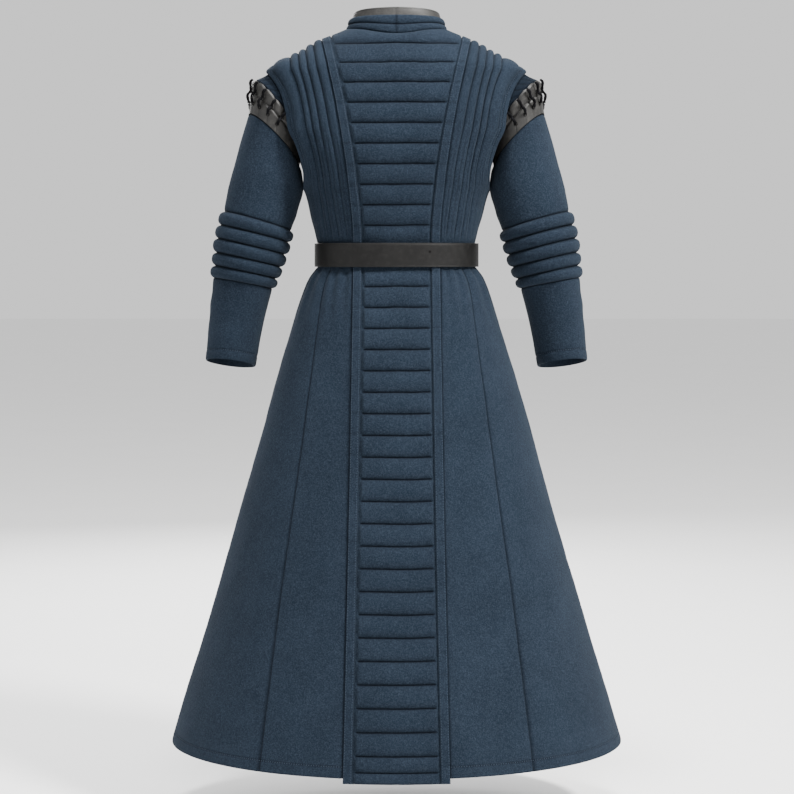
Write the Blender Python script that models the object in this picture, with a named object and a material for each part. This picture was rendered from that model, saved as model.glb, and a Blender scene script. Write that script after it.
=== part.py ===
# Quilted long coat, filled out on a general figure with no wearer, with its belt.
# Metres, +Z up. The front faces -Y and the wearer's left side is +X.
# The origin is on the centre line at the height of the shoulders, where the wearer holds the coat.
# Heights in tables are measured from the waist line, and angles run round the body from the
# centre back (0) over the side (90 degrees) to the centre front (180 degrees).

import math

import bmesh
import bpy
import numpy as np

COLLECTION = "quilted_coat"

WAIST_HEIGHT = -0.447        # the waist line below the origin
GAP = 0.0003                 # clear space at each seam
CLOTH = 0.003                # wall of the felted wool
LEATHER = 0.0025             # wall of the leather trim
HEM = -0.966                 # hem of the skirt
PANEL_HEM = -0.975           # hem of the centre back panel, which hangs a little lower

FIRST_LINE = 0.4145          # highest sewn line across the centre back
BODICE_PITCH = 0.0396        # from one sewn line to the next above the waist
SKIRT_LINE = -0.0214         # first sewn line below the waist
SKIRT_PITCH = 0.0400         # from one sewn line to the next below the waist
SKIRT_PITCH_GROWTH = 0.000052
SKIRT_LINES = 23
HEM_LINE = -0.955            # sewn line of the centre panel's hem
CHANNEL_RISE = 0.0042        # how far a quilted channel swells out
BAND_WIDTH = 0.017           # raised bands beside the centre panel
BAND_CLEAR = 0.0010
PANEL_FLAT = 0.0018          # plain strip beside a band
PANEL_MARGIN = 0.008         # a channel has its full rise this far inside the band

BAND_RISE = 0.0005           # the middle of a band above its edges
BESIDE_BAND = 0.001          # the first pleat starts this far from the band
PANEL_COLUMNS = (0.66, 0.34)      # columns of the bodice's centre panel, as parts of its half width
SKIRT_PANEL_COLUMN = 0.32
BOW_POWER = 2.6              # a channel is steep at its sewn lines and round on top

RIDGE_RISE_SHOULDER = 0.0052
RIDGE_RISE_WAIST = 0.0018
CAP_HEM_RISE = 0.0012
BELT_FADE = 0.022            # quilting is flat up to here from the waist, and full at twice that
GROOVE, RIDGE, CAP_HEM = 0, 1, 2  # kinds of column in a side panel

# Rows shared by the pieces of the bodice: the part of the way from the top edge to the first
# sewn line, then heights, with three rows for each quilted channel.
TOP_STEPS = (0.0, 0.25, 0.5, 0.75)
ROW_STEPS = (0.0, 0.3, 0.7)
FINE_CHANNELS = 2            # channels that keep all rows in every piece
BODICE_CHANNELS = 10
WAIST_EDGE = GAP / 2.0

SHOULDER_TIP = 0.364         # height of the outer end of the shoulder line
BAND_TOP_HEIGHT = 0.4305     # height at which the band's seam meets the shoulder line

ARMHOLE_CENTRE = 0.2475
ARMHOLE_HALF_HEIGHT = 0.1165
ARMHOLE_HALF_DEPTH = 0.084
ARMHOLE_POWER = 2.3
ARMHOLE_TURN = math.radians(38)    # how far the top rows reach round the armhole
ARMPIT_HEIGHT = 0.16

NECK_HALF_WIDTH = 0.098
NECK_BACK = 0.075
NECK_FRONT = 0.085
NECK_TOP = 0.447
NECK_LOW = 0.36              # below every point of the neckline

FRONT_OVERLAP = 0.020        # the right front covers the left one by this much each side of centre
FRONT_RAISE = 0.0042
FRONT_NECK = 0.385
FRONT_LINE_DROP = 0.014      # the fronts' first row lies this far below the neckline
OVERLAP_START = 0.015        # below the front's neckline
OVERLAP_LENGTH = 0.05
RAISE_START = 0.002
RAISE_LENGTH = 0.011
STEP_COLUMNS = (0.012, 0.026, 0.040, 0.056)    # across the step over the other front
STEP_WIDTH = 0.030
FRONT_SHARES = (0.36, 0.70)  # columns between the step and the seam
NECK_CORNER = 5              # the front's column at which the neckline meets the shoulder line

HEM_ROLL = 0.004             # the hem of the centre panel is rounded over this height
HEM_RISE = 0.45              # and stands out by this share of a channel's rise
NEAR_BELT = (0.0120, 0.0235, 0.0340, 0.0450, 0.0600, 0.0800, 0.1050, 0.1400)
SKIRT_PLAIN_TOP = -0.190
SKIRT_PLAIN_ROWS = 8
GATHERS = {"rise": 0.0024, "start": 0.024, "grow": 0.012, "full": 0.045, "fade": 0.10}
SEAM_SLANT = 1.3             # a skirt seam is cut at a slant, so its gap is a little wider
GORE_COLUMNS = {"back": 7, "side": 11}

COLLAR_END = math.radians(177.0)
COLLAR_COLUMNS = 33
COLLAR_LEAN = 0.0105
COLLAR_LEAN_HEIGHT = 0.038   # over which the collar leans in that far
COLLAR_DEPTH_SHARE = 0.7     # the lean at the back and front, as a share of that at the sides
COLLAR_RISE = 0.0028
# Rows, bottom edge above the neckline, place outside the neckline, wall and channel rise.
CLOTH_COLLAR = {"steps": (0.0, 0.08, 0.25, 0.5, 0.75, 0.92, 1.0), "bottom": 0.0015,
                "outset": 0.001, "wall": CLOTH, "rise": COLLAR_RISE}
LEATHER_COLLAR = {"steps": (0.0, 0.4, 1.0), "bottom": 0.010, "outset": -0.0024,
                  "wall": 0.0022, "rise": 0.0}


RIB_RISE = 0.0072            # padded rings at the elbow
RIB_STEPS = (0.0, 0.26, 0.74)
UPPER_ARM_ROWS = (0.0006, 0.030, 0.066, 0.100, 0.135)
FOREARM_ROWS = (0.315, 0.340, 0.375, 0.415, 0.455)
SLEEVE_INNER_ROWS = (0, 2, 4, 5, 11, 17, 20, 23)
SLEEVE_SIDES = 16            # sides of the sleeve's oval
LACE_RADIUS = 0.0021
LACE_RING = 360              # one point of the leather's ring for each degree
LACES = 5                    # on the back half of each shoulder, and as many on the front half
FIRST_EYELET = 16.0          # degrees round the leather band from its outer side
EYELET_STEP = 21.0
TABS = 16                    # puffed tabs round each leather band
TAB_PUFF = 0.0024
TAB_BETWEEN = 0.35           # puff between two tabs, as a share of a tab's
TAB_CROWN = 0.06             # how far a tab's top rises, as a part of the band's height

UNDER_CAP_SIDES = 20
UNDER_CAP_WALL = 0.0022
UNDER_CAP = {
    "inside": CLOTH + 0.0035,    # below the body's outer face
    "edge": 0.002,               # the first ring lies this much deeper still
    "beyond": 0.004,             # and this far outside the armhole's edge
    "within": 0.001,             # the second ring is this far inside the edge
    "inset": LEATHER + 0.0010,   # below the leather's outer face
    "top": -0.09,                # part of the way down the leather, above its top edge
    "end": 0.20,
    "armpit": -0.24,
    "armpit_out": 0.003,
    "low": 0.2,                  # it stands clear of the leather from here down,
    "lower": 0.6,                # growing over this part of the armhole's half height
}

BELT = {"half_width": 0.1605, "back": 0.1155, "front": 0.1245, "power": 2.12}
BELT_WIDTH = 0.047
BELT_THICKNESS = 0.0035
BELT_STEP = 0.0054           # how far the free end of the belt lies above the strap
BELT_START = math.radians(9)
BELT_END = 2.0 * math.pi + math.radians(38)
BELT_RINGS = 52
TIP_LENGTH = math.radians(5.5)
TIP_WIDTH = 0.45             # the tip's end, as a share of the belt's width
STEP_START = 2.0 * math.pi - math.radians(30)
STEP_LENGTH = math.radians(17)

HINGE_TURN = math.radians(5.0)
FRAME_TURN = math.radians(-9.0)
FRAME_BAR = 0.0023
FRAME_CLEAR = 0.0012         # between the belt's edge and the frame
FRAME_CORNER = math.radians(1.6)
CORNER_SHARE = 0.90
CORNER_LIFT = 0.0008
HINGE_CLEAR = 0.0006
FRAME_ABOVE = 0.0008
PRONG = 0.0016
# How far before the hinge or the frame, and how high above the belt or the frame's bar.
PRONG_HINGE = ((0.5, 0.0005), (5.0, 0.0020))
PRONG_FRAME = ((3.0, 0.0016), (-1.6, 0.0016))

KEEPER_TURNS = (22.0, 27.0)
KEEPER_WALL = 0.0018
KEEPER_CLEAR = 0.0008
KEEPER_BELOW = 0.0006
CORD_RESOLUTION = 2
SHARP_ANGLE = 40.0

BLUE = (0.031, 0.054, 0.094)
DARK_BLUE = (0.016, 0.026, 0.048)
GREY_LEATHER = (0.045, 0.041, 0.037)
BLACK_LEATHER = (0.022, 0.021, 0.020)
LACE_BLACK = (0.012, 0.012, 0.012)
STEEL = (0.42, 0.41, 0.40)

# name: colour, roughness, metallic
FINISHES = {
    "blue_felt": (BLUE, 0.95, 0.0),
    "under_cloth": (DARK_BLUE, 0.95, 0.0),
    "trim_leather": (GREY_LEATHER, 0.55, 0.0),
    "belt_leather": (BLACK_LEATHER, 0.50, 0.0),
    "lace_cord": (LACE_BLACK, 0.80, 0.0),
    "buckle_steel": (STEEL, 0.35, 1.0),
}


def smooth_value(where, places, values):
    # Monotone cubic through the points: each slope is the harmonic mean of its two neighbours'.
    steps = np.diff(places)
    slopes = np.diff(values) / steps
    product = slopes[:-1] * slopes[1:]
    total = np.where(product > 0, slopes[:-1] + slopes[1:], 1.0)
    middle = np.where(product > 0, 2.0 * product / total, 0.0)
    tangents = np.concatenate([slopes[:1], middle, slopes[-1:]])
    index = np.clip(np.searchsorted(places, where) - 1, 0, len(steps) - 1)
    step = steps[index]
    t = (where - places[index]) / step
    start, end = values[index], values[index + 1]
    rise = t * t * (3.0 - 2.0 * t)
    return (start + (end - start) * rise
            + step * tangents[index] * t * (1.0 - t) ** 2
            - step * tangents[index + 1] * t * t * (1.0 - t))


class Table:
    # A short table with named columns; a column is read as a smooth function of the first one.
    def __init__(self, names, rows):
        self.columns = dict(zip(names, np.array(rows, dtype=float).T))
        self.places = self.columns[names[0]]

    def at(self, name, where):
        return smooth_value(np.asarray(where, dtype=float), self.places, self.columns[name])


# Sections of the plain outer face of the body and skirt.
BODY = Table(
    ("height", "half_width", "back", "front", "power"),
    (
        (-0.990, 0.454, 0.316, 0.296, 2.00),
        (-0.890, 0.425, 0.295, 0.278, 2.00),
        (-0.730, 0.375, 0.260, 0.247, 2.00),
        (-0.570, 0.329, 0.227, 0.218, 2.00),
        (-0.410, 0.284, 0.195, 0.190, 2.02),
        (-0.250, 0.240, 0.164, 0.163, 2.05),
        (-0.154, 0.211, 0.143, 0.145, 2.08),
        (-0.070, 0.182, 0.123, 0.127, 2.10),
        (-0.045, 0.1705, 0.115, 0.121, 2.10),
        (-0.027, 0.1580, 0.1105, 0.118, 2.10),
        (0.000, 0.1535, 0.108, 0.115, 2.10),
        (0.026, 0.158, 0.1100, 0.118, 2.15),
        (0.050, 0.163, 0.1125, 0.122, 2.20),
        (0.074, 0.170, 0.1165, 0.128, 2.22),
        (0.118, 0.181, 0.123, 0.136, 2.25),
        (0.155, 0.1985, 0.1275, 0.142, 2.30),
        (0.214, 0.236, 0.132, 0.146, 2.30),
        (0.251, 0.2585, 0.132, 0.143, 2.30),
        (0.294, 0.261, 0.130, 0.133, 2.30),
        (0.364, 0.2595, 0.117, 0.101, 2.30),
        (0.392, 0.213, 0.103, 0.081, 2.30),
        (0.404, 0.188, 0.096, 0.075, 2.30),
        (0.4196, 0.163, 0.087, 0.066, 2.30),
        (0.427, 0.145, 0.082, 0.062, 2.30),
        (0.438, 0.119, 0.073, 0.055, 2.30),
        (0.447, 0.098, 0.066, 0.050, 2.30),
    ),
)

# Half width of the quilted centre back panel, out to the inner edge of its raised band.
CENTRE_PANEL = Table(
    ("height", "half_width"),
    (
        (-0.975, 0.0820),
        (-0.720, 0.0770),
        (-0.270, 0.0700),
        (0.030, 0.0670),
        (0.150, 0.0770),
        (0.294, 0.1000),
        (0.420, 0.1280),
        (0.447, 0.1335),
    ),
)

# Place of the seam between the back and side gores of the skirt, as an angle in degrees.
GORE_SEAM = Table(
    ("height", "angle"),
    (
        (-0.970, 35.0),
        (-0.854, 36.2),
        (-0.650, 38.8),
        (-0.440, 41.0),
        (-0.245, 44.0),
        (-0.148, 47.0),
        (-0.050, 53.0),
        (0.000, 56.0),
    ),
)

# Padded pleats of the side panels: where each groove lies between the band (0) and the
# panel's outer edge (1), at the shoulder and at the waist.
PLEATS = Table(
    ("groove", "shoulder", "waist"),
    (
        (0, 0.000, 0.000),
        (1, 0.163, 0.070),
        (2, 0.300, 0.200),
        (3, 0.430, 0.330),
        (4, 0.575, 0.480),
        (5, 0.886, 0.960),
        (6, 1.000, 1.000),
    ),
)

# Sleeve sections along the arm, for the wearer's left: the ring's centre, half width and half
# depth, its tilt (outer side up), and how much higher its back is than its centre.
SLEEVE = Table(
    ("station", "x", "y", "z", "half_width", "half_depth", "tilt", "back_lift"),
    (
        (0.000, 0.2449, 0.000, 0.2280, 0.0695, 0.0740, 43.5, 0.020),
        (0.066, 0.2540, -0.001, 0.1630, 0.0740, 0.0735, 30.0, 0.012),
        (0.118, 0.2669, -0.003, 0.1120, 0.0733, 0.0720, 20.8, 0.007),
        (0.164, 0.2784, -0.005, 0.0677, 0.0697, 0.0700, 15.9, 0.004),
        (0.190, 0.2846, -0.006, 0.0428, 0.0700, 0.0695, 14.3, 0.003),
        (0.217, 0.2918, -0.007, 0.0170, 0.0690, 0.0690, 13.8, 0.003),
        (0.244, 0.2974, -0.009, -0.0096, 0.0663, 0.0665, 12.9, 0.003),
        (0.269, 0.3034, -0.011, -0.0344, 0.0622, 0.0630, 12.3, 0.003),
        (0.292, 0.3084, -0.013, -0.0568, 0.0598, 0.0605, 10.4, 0.003),
        (0.3665, 0.3214, -0.022, -0.1300, 0.0545, 0.0550, 8.5, 0.006),
        (0.455, 0.3344, -0.034, -0.2180, 0.0502, 0.0520, 6.4, 0.010),
    ),
)
RIB_STATIONS = (0.164, 0.190, 0.217, 0.244, 0.269, 0.292)

# Top edge of the leather band round the head of the sleeve, in the same terms.
BAND_TOP = {"x": 0.238, "y": 0.0, "z": 0.2815, "half_width": 0.0743,
            "half_depth": 0.0780, "tilt": 49.5, "back_lift": 0.025}

# Height of the collar's top edge round the neck.
COLLAR_TOP = Table(
    ("angle", "cloth", "leather"),
    (
        (0, 0.4725, 0.4890),
        (45, 0.4725, 0.4870),
        (90, 0.4700, 0.4810),
        (135, 0.4500, 0.4610),
        (180, 0.4230, 0.4340),
    ),
)

# Leather band from its top edge down: puff of its tabs and how far they rise above the edge.
LEATHER_BAND = Table(
    ("down", "puff", "crown"),
    (
        (0.0, 0.0, 1.0),
        (0.12, 1.0, 0.8),
        (0.40, 1.0, 0.0),
        (0.52, 0.0, 0.0),
        (0.66, 0.4, 0.0),
        (0.9950, 0.0, 0.0),
    ),
)

# Which turn of the armhole is opposite each turn of the leather band's top edge, so that the
# two are at about the same height; the band's plane leans, so back and front differ.
UNDER_CAP_TURNS = Table(
    ("leather", "back", "front"),
    (
        (0, 0, 0),
        (60, 38, 60),
        (90, 60, 84),
        (120, 82, 105),
        (150, 115, 135),
        (180, 180, 180),
    ),
)

# A lace rises from above the leather band's top edge, goes down to it at mid height, stands
# off again and ends in an eyelet: part of the way down the band, turn beyond the eyelet, and
# how far it stands off the leather.
LACE_PATH = Table(
    ("down", "turn", "lift"),
    (
        (0.02, 13.0, 0.0050),
        (0.12, 10.0, 0.0080),
        (0.33, 6.0, 0.0028),
        (0.52, 2.0, 0.0080),
        (0.68, 0.0, 0.0014),
    ),
)


def smooth_step(value):
    t = np.clip(value, 0.0, 1.0)
    return t * t * (3.0 - 2.0 * t)


def signed_power(value, power):
    return np.sign(value) * np.abs(value) ** power


def body_point(angle, height):
    # Superellipse: x = width * sin(angle)^(2/p), y = depth * cos(angle)^(2/p).
    angle, height = np.broadcast_arrays(np.asarray(angle, float), np.asarray(height, float))
    power = 2.0 / BODY.at("power", height)
    behind = np.cos(angle) > 0
    depth = np.where(behind, BODY.at("back", height), BODY.at("front", height))
    x = BODY.at("half_width", height) * signed_power(np.sin(angle), power)
    y = depth * signed_power(np.cos(angle), power)
    return np.stack([x, y, height], axis=-1)


def unit(vectors):
    return vectors / np.linalg.norm(vectors, axis=-1, keepdims=True)


def body_normal(angle, height):
    step = 1e-4
    along = body_point(angle + step, height) - body_point(angle - step, height)
    up = body_point(angle, height + step) - body_point(angle, height - step)
    return unit(np.cross(up, along))


def angle_at_x(x, height, front=False):
    # The superellipse turned round: sin(angle) = (x / width)^(p/2).
    ratio = np.clip(np.abs(x) / BODY.at("half_width", height), 0.0, 1.0)
    angle = np.sign(x) * np.arcsin(ratio ** (BODY.at("power", height) / 2.0))
    return math.pi - angle if front else angle


def angle_at_y(y, height, front=False):
    # The same for a distance from the side seam: cos(angle) = (y / depth)^(p/2).
    depth = BODY.at("front" if front else "back", height)
    angle = np.arccos(np.clip(y / depth, 0.0, 1.0) ** (BODY.at("power", height) / 2.0))
    return math.pi - angle if front else angle


def seam_x(height):
    # The seam beside the centre back panel lies under the middle of the raised band.
    return CENTRE_PANEL.at("half_width", height) + BAND_WIDTH / 2.0


def ridge_height(x):
    # Height of the shoulder line at a distance from the centre line.
    heights = np.linspace(SHOULDER_TIP, NECK_TOP, 200)
    return np.interp(-np.asarray(x), -BODY.at("half_width", heights), heights)


def neck_edge(turn):
    # The neckline is an oval in plan; its height is where that oval meets the body, by bisection.
    turn = np.asarray(turn, dtype=float)
    x = NECK_HALF_WIDTH * np.abs(np.sin(turn))
    behind = np.cos(turn) > 0
    y = np.where(behind, NECK_BACK, NECK_FRONT) * np.abs(np.cos(turn))
    low = np.full(turn.shape, NECK_LOW)
    high = np.full(turn.shape, NECK_TOP)
    for _ in range(40):
        middle = (low + high) / 2.0
        depth = np.where(behind, BODY.at("back", middle), BODY.at("front", middle))
        power = BODY.at("power", middle)
        outside = (x / BODY.at("half_width", middle)) ** power + (y / depth) ** power > 1.0
        high = np.where(outside, middle, high)
        low = np.where(outside, low, middle)
    height = (low + high) / 2.0
    half = BODY.at("power", height) / 2.0
    depth = np.where(behind, BODY.at("back", height), BODY.at("front", height))
    angle = np.arctan2((x / BODY.at("half_width", height)) ** half, (y / depth) ** half)
    return np.where(behind, angle, math.pi - angle), height


def armhole(turn, front=False, grow=0.0):
    # Turn 0 is the shoulder tip, 180 degrees the armpit: an oval seen from the side.
    rise = np.cos(turn)
    height = ARMHOLE_CENTRE + (ARMHOLE_HALF_HEIGHT + grow) * rise
    reach = (1.0 - np.abs(rise) ** ARMHOLE_POWER) ** (1.0 / ARMHOLE_POWER)
    y = np.maximum((ARMHOLE_HALF_DEPTH + grow) * reach, GAP / 2.0)
    return angle_at_y(y, height, front), height


def finish_material(name):
    material = bpy.data.materials.get(name)
    if material is None:
        colour, roughness, metallic = FINISHES[name]
        material = bpy.data.materials.new(name)
        material.use_nodes = True
        shader = material.node_tree.nodes["Principled BSDF"]
        shader.inputs["Base Color"].default_value = (*colour, 1.0)
        shader.inputs["Roughness"].default_value = roughness
        shader.inputs["Metallic"].default_value = metallic
    return material


def place(thing, finish):
    thing.data.materials.append(finish_material(finish))
    thing.location = (0.0, 0.0, WAIST_HEIGHT)
    bpy.data.collections[COLLECTION].objects.link(thing)
    return thing


def solid(name, finish, points, faces):
    # One closed body from points and faces, split into triangles, facing out.
    mesh = bpy.data.meshes.new(name)
    mesh.from_pydata([tuple(point) for point in points], [], faces)
    shape = bmesh.new()
    shape.from_mesh(mesh)
    bmesh.ops.triangulate(shape, faces=shape.faces[:], quad_method="SHORT_EDGE")
    bmesh.ops.recalc_face_normals(shape, faces=shape.faces[:])
    if shape.calc_volume(signed=True) < 0:
        bmesh.ops.reverse_faces(shape, faces=shape.faces[:])
    shape.to_mesh(mesh)
    shape.free()
    mesh.shade_smooth()
    mesh.set_sharp_from_angle(angle=math.radians(SHARP_ANGLE))
    return place(bpy.data.objects.new(name, mesh), finish)


def grid_sides(rows, columns):
    # The cells along the four sides of a grid. Opposite sides run the same way, so that two
    # pieces that meet at a seam split their edges alike.
    top = [(0, c) for c in range(columns)]
    bottom = [(rows - 1, c) for c in range(columns)]
    left = [(r, 0) for r in range(rows)]
    right = [(r, columns - 1) for r in range(rows)]
    return top, bottom, left, right


def plate(name, finish, outer, inner, inner_rows, inner_columns):
    # A wall between an outer grid and a coarser inner one. The inner grid uses some of the
    # outer grid's rows and columns, and the edge between them is filled with fans.
    rows, columns = outer.shape[:2]
    inner_part = inner[np.ix_(inner_rows, inner_columns)]
    points = np.concatenate([outer.reshape(-1, 3), inner_part.reshape(-1, 3)])
    width = len(inner_columns)
    inner_index = {}
    for i, r in enumerate(inner_rows):
        for j, c in enumerate(inner_columns):
            inner_index[(r, c)] = rows * columns + i * width + j
    faces = []
    for r in range(rows - 1):
        for c in range(columns - 1):
            corner = r * columns + c
            faces.append((corner, corner + 1, corner + columns + 1, corner + columns))
    for i in range(len(inner_rows) - 1):
        for j in range(width - 1):
            corner = rows * columns + i * width + j
            faces.append((corner, corner + width, corner + width + 1, corner + 1))
    for side in grid_sides(rows, columns):
        current = inner_index[side[0]]
        for here, after in zip(side, side[1:]):
            here_index = here[0] * columns + here[1]
            after_index = after[0] * columns + after[1]
            faces.append((here_index, after_index, current))
            if after in inner_index:
                faces.append((after_index, inner_index[after], current))
                current = inner_index[after]
    return solid(name, finish, points, faces)


def body_wall(name, angle, height, relief, inner_rows, inner_columns, lift=0.0):
    # A cloth wall on the body: both faces moved out by the lift, the outer one by its relief too.
    angle, height = np.broadcast_arrays(angle, height)
    base = body_point(angle, height)
    normal = body_normal(angle, height)
    lift = np.broadcast_to(lift, angle.shape)[..., None]
    relief = np.broadcast_to(relief, angle.shape)[..., None]
    outer = base + normal * (lift + relief)
    inner = base + normal * (lift - CLOTH)
    return plate(name, "blue_felt", outer, inner, inner_rows, inner_columns)


def tube(name, finish, outer, inner):
    # A closed sleeve of cloth between outer and inner rings, which share their points per ring.
    count = outer.shape[1]
    rings = np.concatenate([outer, inner[::-1]])
    total = rings.shape[0]
    faces = []
    for r in range(total):
        after = (r + 1) % total
        for c in range(count):
            beside = (c + 1) % count
            faces.append((r * count + c, r * count + beside,
                          after * count + beside, after * count + c))
    return solid(name, finish, rings.reshape(-1, 3), faces)


def mirror_x(points, side):
    return points * np.array([side, 1.0, 1.0])


def bow(t):
    # A channel's cross-section, from one sewn line (0) to the next (1).
    return 1.0 - np.abs(2.0 * t - 1.0) ** BOW_POWER


def bodice_rows(steps):
    # The first channels lie on the tight bend under the shoulder and keep all their rows.
    rows = [(t, FIRST_LINE, t) for t in TOP_STEPS]
    for channel in range(BODICE_CHANNELS):
        for t in ROW_STEPS if channel < FINE_CHANNELS else steps:
            rows.append((1.0, FIRST_LINE - (channel + t) * BODICE_PITCH, t))
    last = FIRST_LINE - BODICE_CHANNELS * BODICE_PITCH
    rows.append((1.0, last, 0.0))
    rows.append((1.0, WAIST_EDGE, 0.0))
    return np.array(rows).T


def bodice_column(top_angle, top_height, x_of_height, rows, front=False):
    # From a point of the top edge to the first sewn line, then down along x_of_height.
    part, level, _ = rows
    first_angle = angle_at_x(x_of_height(FIRST_LINE), FIRST_LINE, front)
    angle = np.where(part < 1.0, top_angle + (first_angle - top_angle) * part,
                     angle_at_x(x_of_height(level), level, front))
    height = np.where(part < 1.0, top_height + (FIRST_LINE - top_height) * part, level)
    return angle, height


def shoulder_angle(height, front=False):
    return angle_at_y(GAP / 2.0, height, front)


def top_edge(part, corner, neck_start, front=False):
    # The top edge of a centre piece: the neckline up to the corner, then the shoulder line.
    side_turn = math.pi / 2.0
    if part <= corner:
        angle, height = neck_edge(neck_start + (side_turn - neck_start) * part / corner)
        limit = shoulder_angle(height, front)
        angle = max(angle, limit) if front else min(angle, limit)
        return float(angle), float(height)
    outer = float(ridge_height(seam_x(BAND_TOP_HEIGHT)))
    height = NECK_TOP + (outer - NECK_TOP) * (part - corner) / (1.0 - corner)
    return float(shoulder_angle(height, front)), height


def belt_fade(height):
    # Quilting is pressed flat where the belt lies on it.
    return smooth_step((np.abs(height) - BELT_FADE) / BELT_FADE)


def make_back_centre():
    rows = bodice_rows(ROW_STEPS)
    panel = CENTRE_PANEL
    columns = (
        lambda z: seam_x(z) - GAP / 2.0,
        lambda z: panel.at("half_width", z) - PANEL_FLAT,
        lambda z: panel.at("half_width", z) - PANEL_MARGIN,
        lambda z: PANEL_COLUMNS[0] * panel.at("half_width", z),
        lambda z: PANEL_COLUMNS[1] * panel.at("half_width", z),
        lambda z: 0.0 * z,
    )
    rises = (0.0, 0.0, 1.0, 1.0, 1.0, 1.0)
    corner = float(columns[3](FIRST_LINE) / columns[0](FIRST_LINE))
    angles, heights, rise = [], [], []
    for side in (1.0, -1.0):
        order = list(zip(columns, rises))
        for column, amount in order if side > 0 else order[-2::-1]:
            part = float(column(FIRST_LINE) / columns[0](FIRST_LINE))
            top_angle, top_height = top_edge(min(part, 1.0), corner, 0.0)
            angle, height = bodice_column(top_angle, top_height, column, rows)
            angles.append(side * angle)
            heights.append(height)
            rise.append(amount)
    angle, height = np.array(angles).T, np.array(heights).T
    relief = CHANNEL_RISE * bow(rows[2])[:, None] * np.array(rise) * belt_fade(height)
    count = len(rows[0])
    fine = len(TOP_STEPS) + FINE_CHANNELS * len(ROW_STEPS)
    inner_rows = list(range(fine)) + list(range(fine, count - 2, 3)) + [count - 2, count - 1]
    return body_wall("back_centre", angle, height, relief, inner_rows, [0, 2, 4, 6, 8, 10])


def make_bodice_band(side, name):
    rows = bodice_rows((0.0, 0.5))
    angles, heights = [], []
    for offset in (-BAND_WIDTH / 2.0, 0.0, BAND_WIDTH / 2.0):
        top_height = float(ridge_height(seam_x(BAND_TOP_HEIGHT) + offset))
        angle, height = bodice_column(float(shoulder_angle(top_height)), top_height,
                                      lambda z, offset=offset: seam_x(z) + offset, rows)
        angles.append(side * angle)
        heights.append(height)
    angle, height = np.array(angles).T, np.array(heights).T
    relief = np.array([0.0, BAND_RISE, 0.0])[None, :] * np.ones_like(angle)
    everything = list(range(len(rows[0])))
    return body_wall(name, angle, height, relief, everything, [0, 2], CLOTH + BAND_CLEAR)


def pleat_columns():
    # Two columns for each pleat, one at its groove and one on its top, then the cap's hem.
    shoulder = PLEATS.columns["shoulder"]
    waist = PLEATS.columns["waist"]
    pleats = len(shoulder) - 2
    columns = []
    for k in range(pleats):
        columns.append((shoulder[k], waist[k], GROOVE))
        columns.append(((shoulder[k] + shoulder[k + 1]) / 2.0, (waist[k] + waist[k + 1]) / 2.0, RIDGE))
    columns.append((shoulder[pleats], waist[pleats], GROOVE))
    columns.append(((shoulder[pleats] + 1.0) / 2.0, (waist[pleats] + 1.0) / 2.0, CAP_HEM))
    columns.append((1.0, 1.0, CAP_HEM))
    return np.array(columns).T


def make_side_panel(side, name, steps, front):
    rows = bodice_rows(steps)
    part, level, _ = rows
    tops = len(TOP_STEPS)
    count = len(part)
    armpit = tops + int(np.argmin(np.abs(level[tops:] - ARMPIT_HEIGHT)))
    turn = np.concatenate([
        ARMHOLE_TURN * part[:tops],
        np.linspace(ARMHOLE_TURN, math.pi, armpit - tops + 1),
    ])
    hole_angle, hole_height = armhole(turn, front)
    seam_height = np.linspace(hole_height[-1], WAIST_EDGE, count - armpit)[1:]
    out_angle = np.concatenate([hole_angle, shoulder_angle(seam_height, front)])
    out_height = np.concatenate([hole_height, seam_height])

    def inner_column(offset):
        top_height = float(ridge_height(seam_x(BAND_TOP_HEIGHT) + offset))
        return bodice_column(float(shoulder_angle(top_height, front)), top_height,
                             lambda z: seam_x(z) + offset, rows, front)

    seam_angle, seam_level = inner_column(GAP / 2.0)
    edge_angle, edge_level = inner_column(BAND_WIDTH / 2.0 + BESIDE_BAND)
    shoulder, waist, kind = pleat_columns()
    fall = (edge_level[0] - edge_level) / (edge_level[0] - edge_level[-1])
    across = shoulder[None, :] + (waist - shoulder)[None, :] * smooth_step(fall)[:, None]
    angle = edge_angle[:, None] + (out_angle - edge_angle)[:, None] * across
    height = edge_level[:, None] + (out_height - edge_level)[:, None] * across
    shoulder_x = seam_x(BAND_TOP_HEIGHT) + BAND_WIDTH / 2.0 + BESIDE_BAND
    tip_x = BODY.at("half_width", SHOULDER_TIP)
    top_heights = ridge_height(shoulder_x + (tip_x - shoulder_x) * across[0])
    first = height[tops]
    for r in range(tops):
        height[r] = top_heights + (first - top_heights) * part[r]
        angle[r, :] = np.where(across[0] >= 1.0, out_angle[r], angle[r])
    height[:tops, -1] = out_height[:tops]
    angle[0] = shoulder_angle(height[0], front)
    ridge = RIDGE_RISE_SHOULDER + (RIDGE_RISE_WAIST - RIDGE_RISE_SHOULDER) * fall
    relief = np.where(kind == RIDGE, ridge[:, None], CAP_HEM_RISE * (kind == CAP_HEM))
    relief = relief * belt_fade(height)
    angle = np.column_stack([seam_angle, angle])
    height = np.column_stack([seam_level, height])
    relief = np.column_stack([np.zeros(count), relief])
    fine = tops + FINE_CHANNELS * len(ROW_STEPS)
    inner_rows = list(range(fine)) + list(range(fine, count - 2, len(steps))) + [count - 2, count - 1]
    return body_wall(name, side * angle, height, relief, inner_rows, [0, 1, 5, 7, 9, 11, 13])


def overlap(height):
    return FRONT_OVERLAP * smooth_step((FRONT_NECK - OVERLAP_START - height) / OVERLAP_LENGTH)


def front_raise(x, height):
    # The right front steps out over the left one beside the centre line.
    start = smooth_step((FRONT_NECK - RAISE_START - height) / RAISE_LENGTH)
    return FRONT_RAISE * start * smooth_step((STEP_COLUMNS[-1] - x) / STEP_WIDTH)


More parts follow.
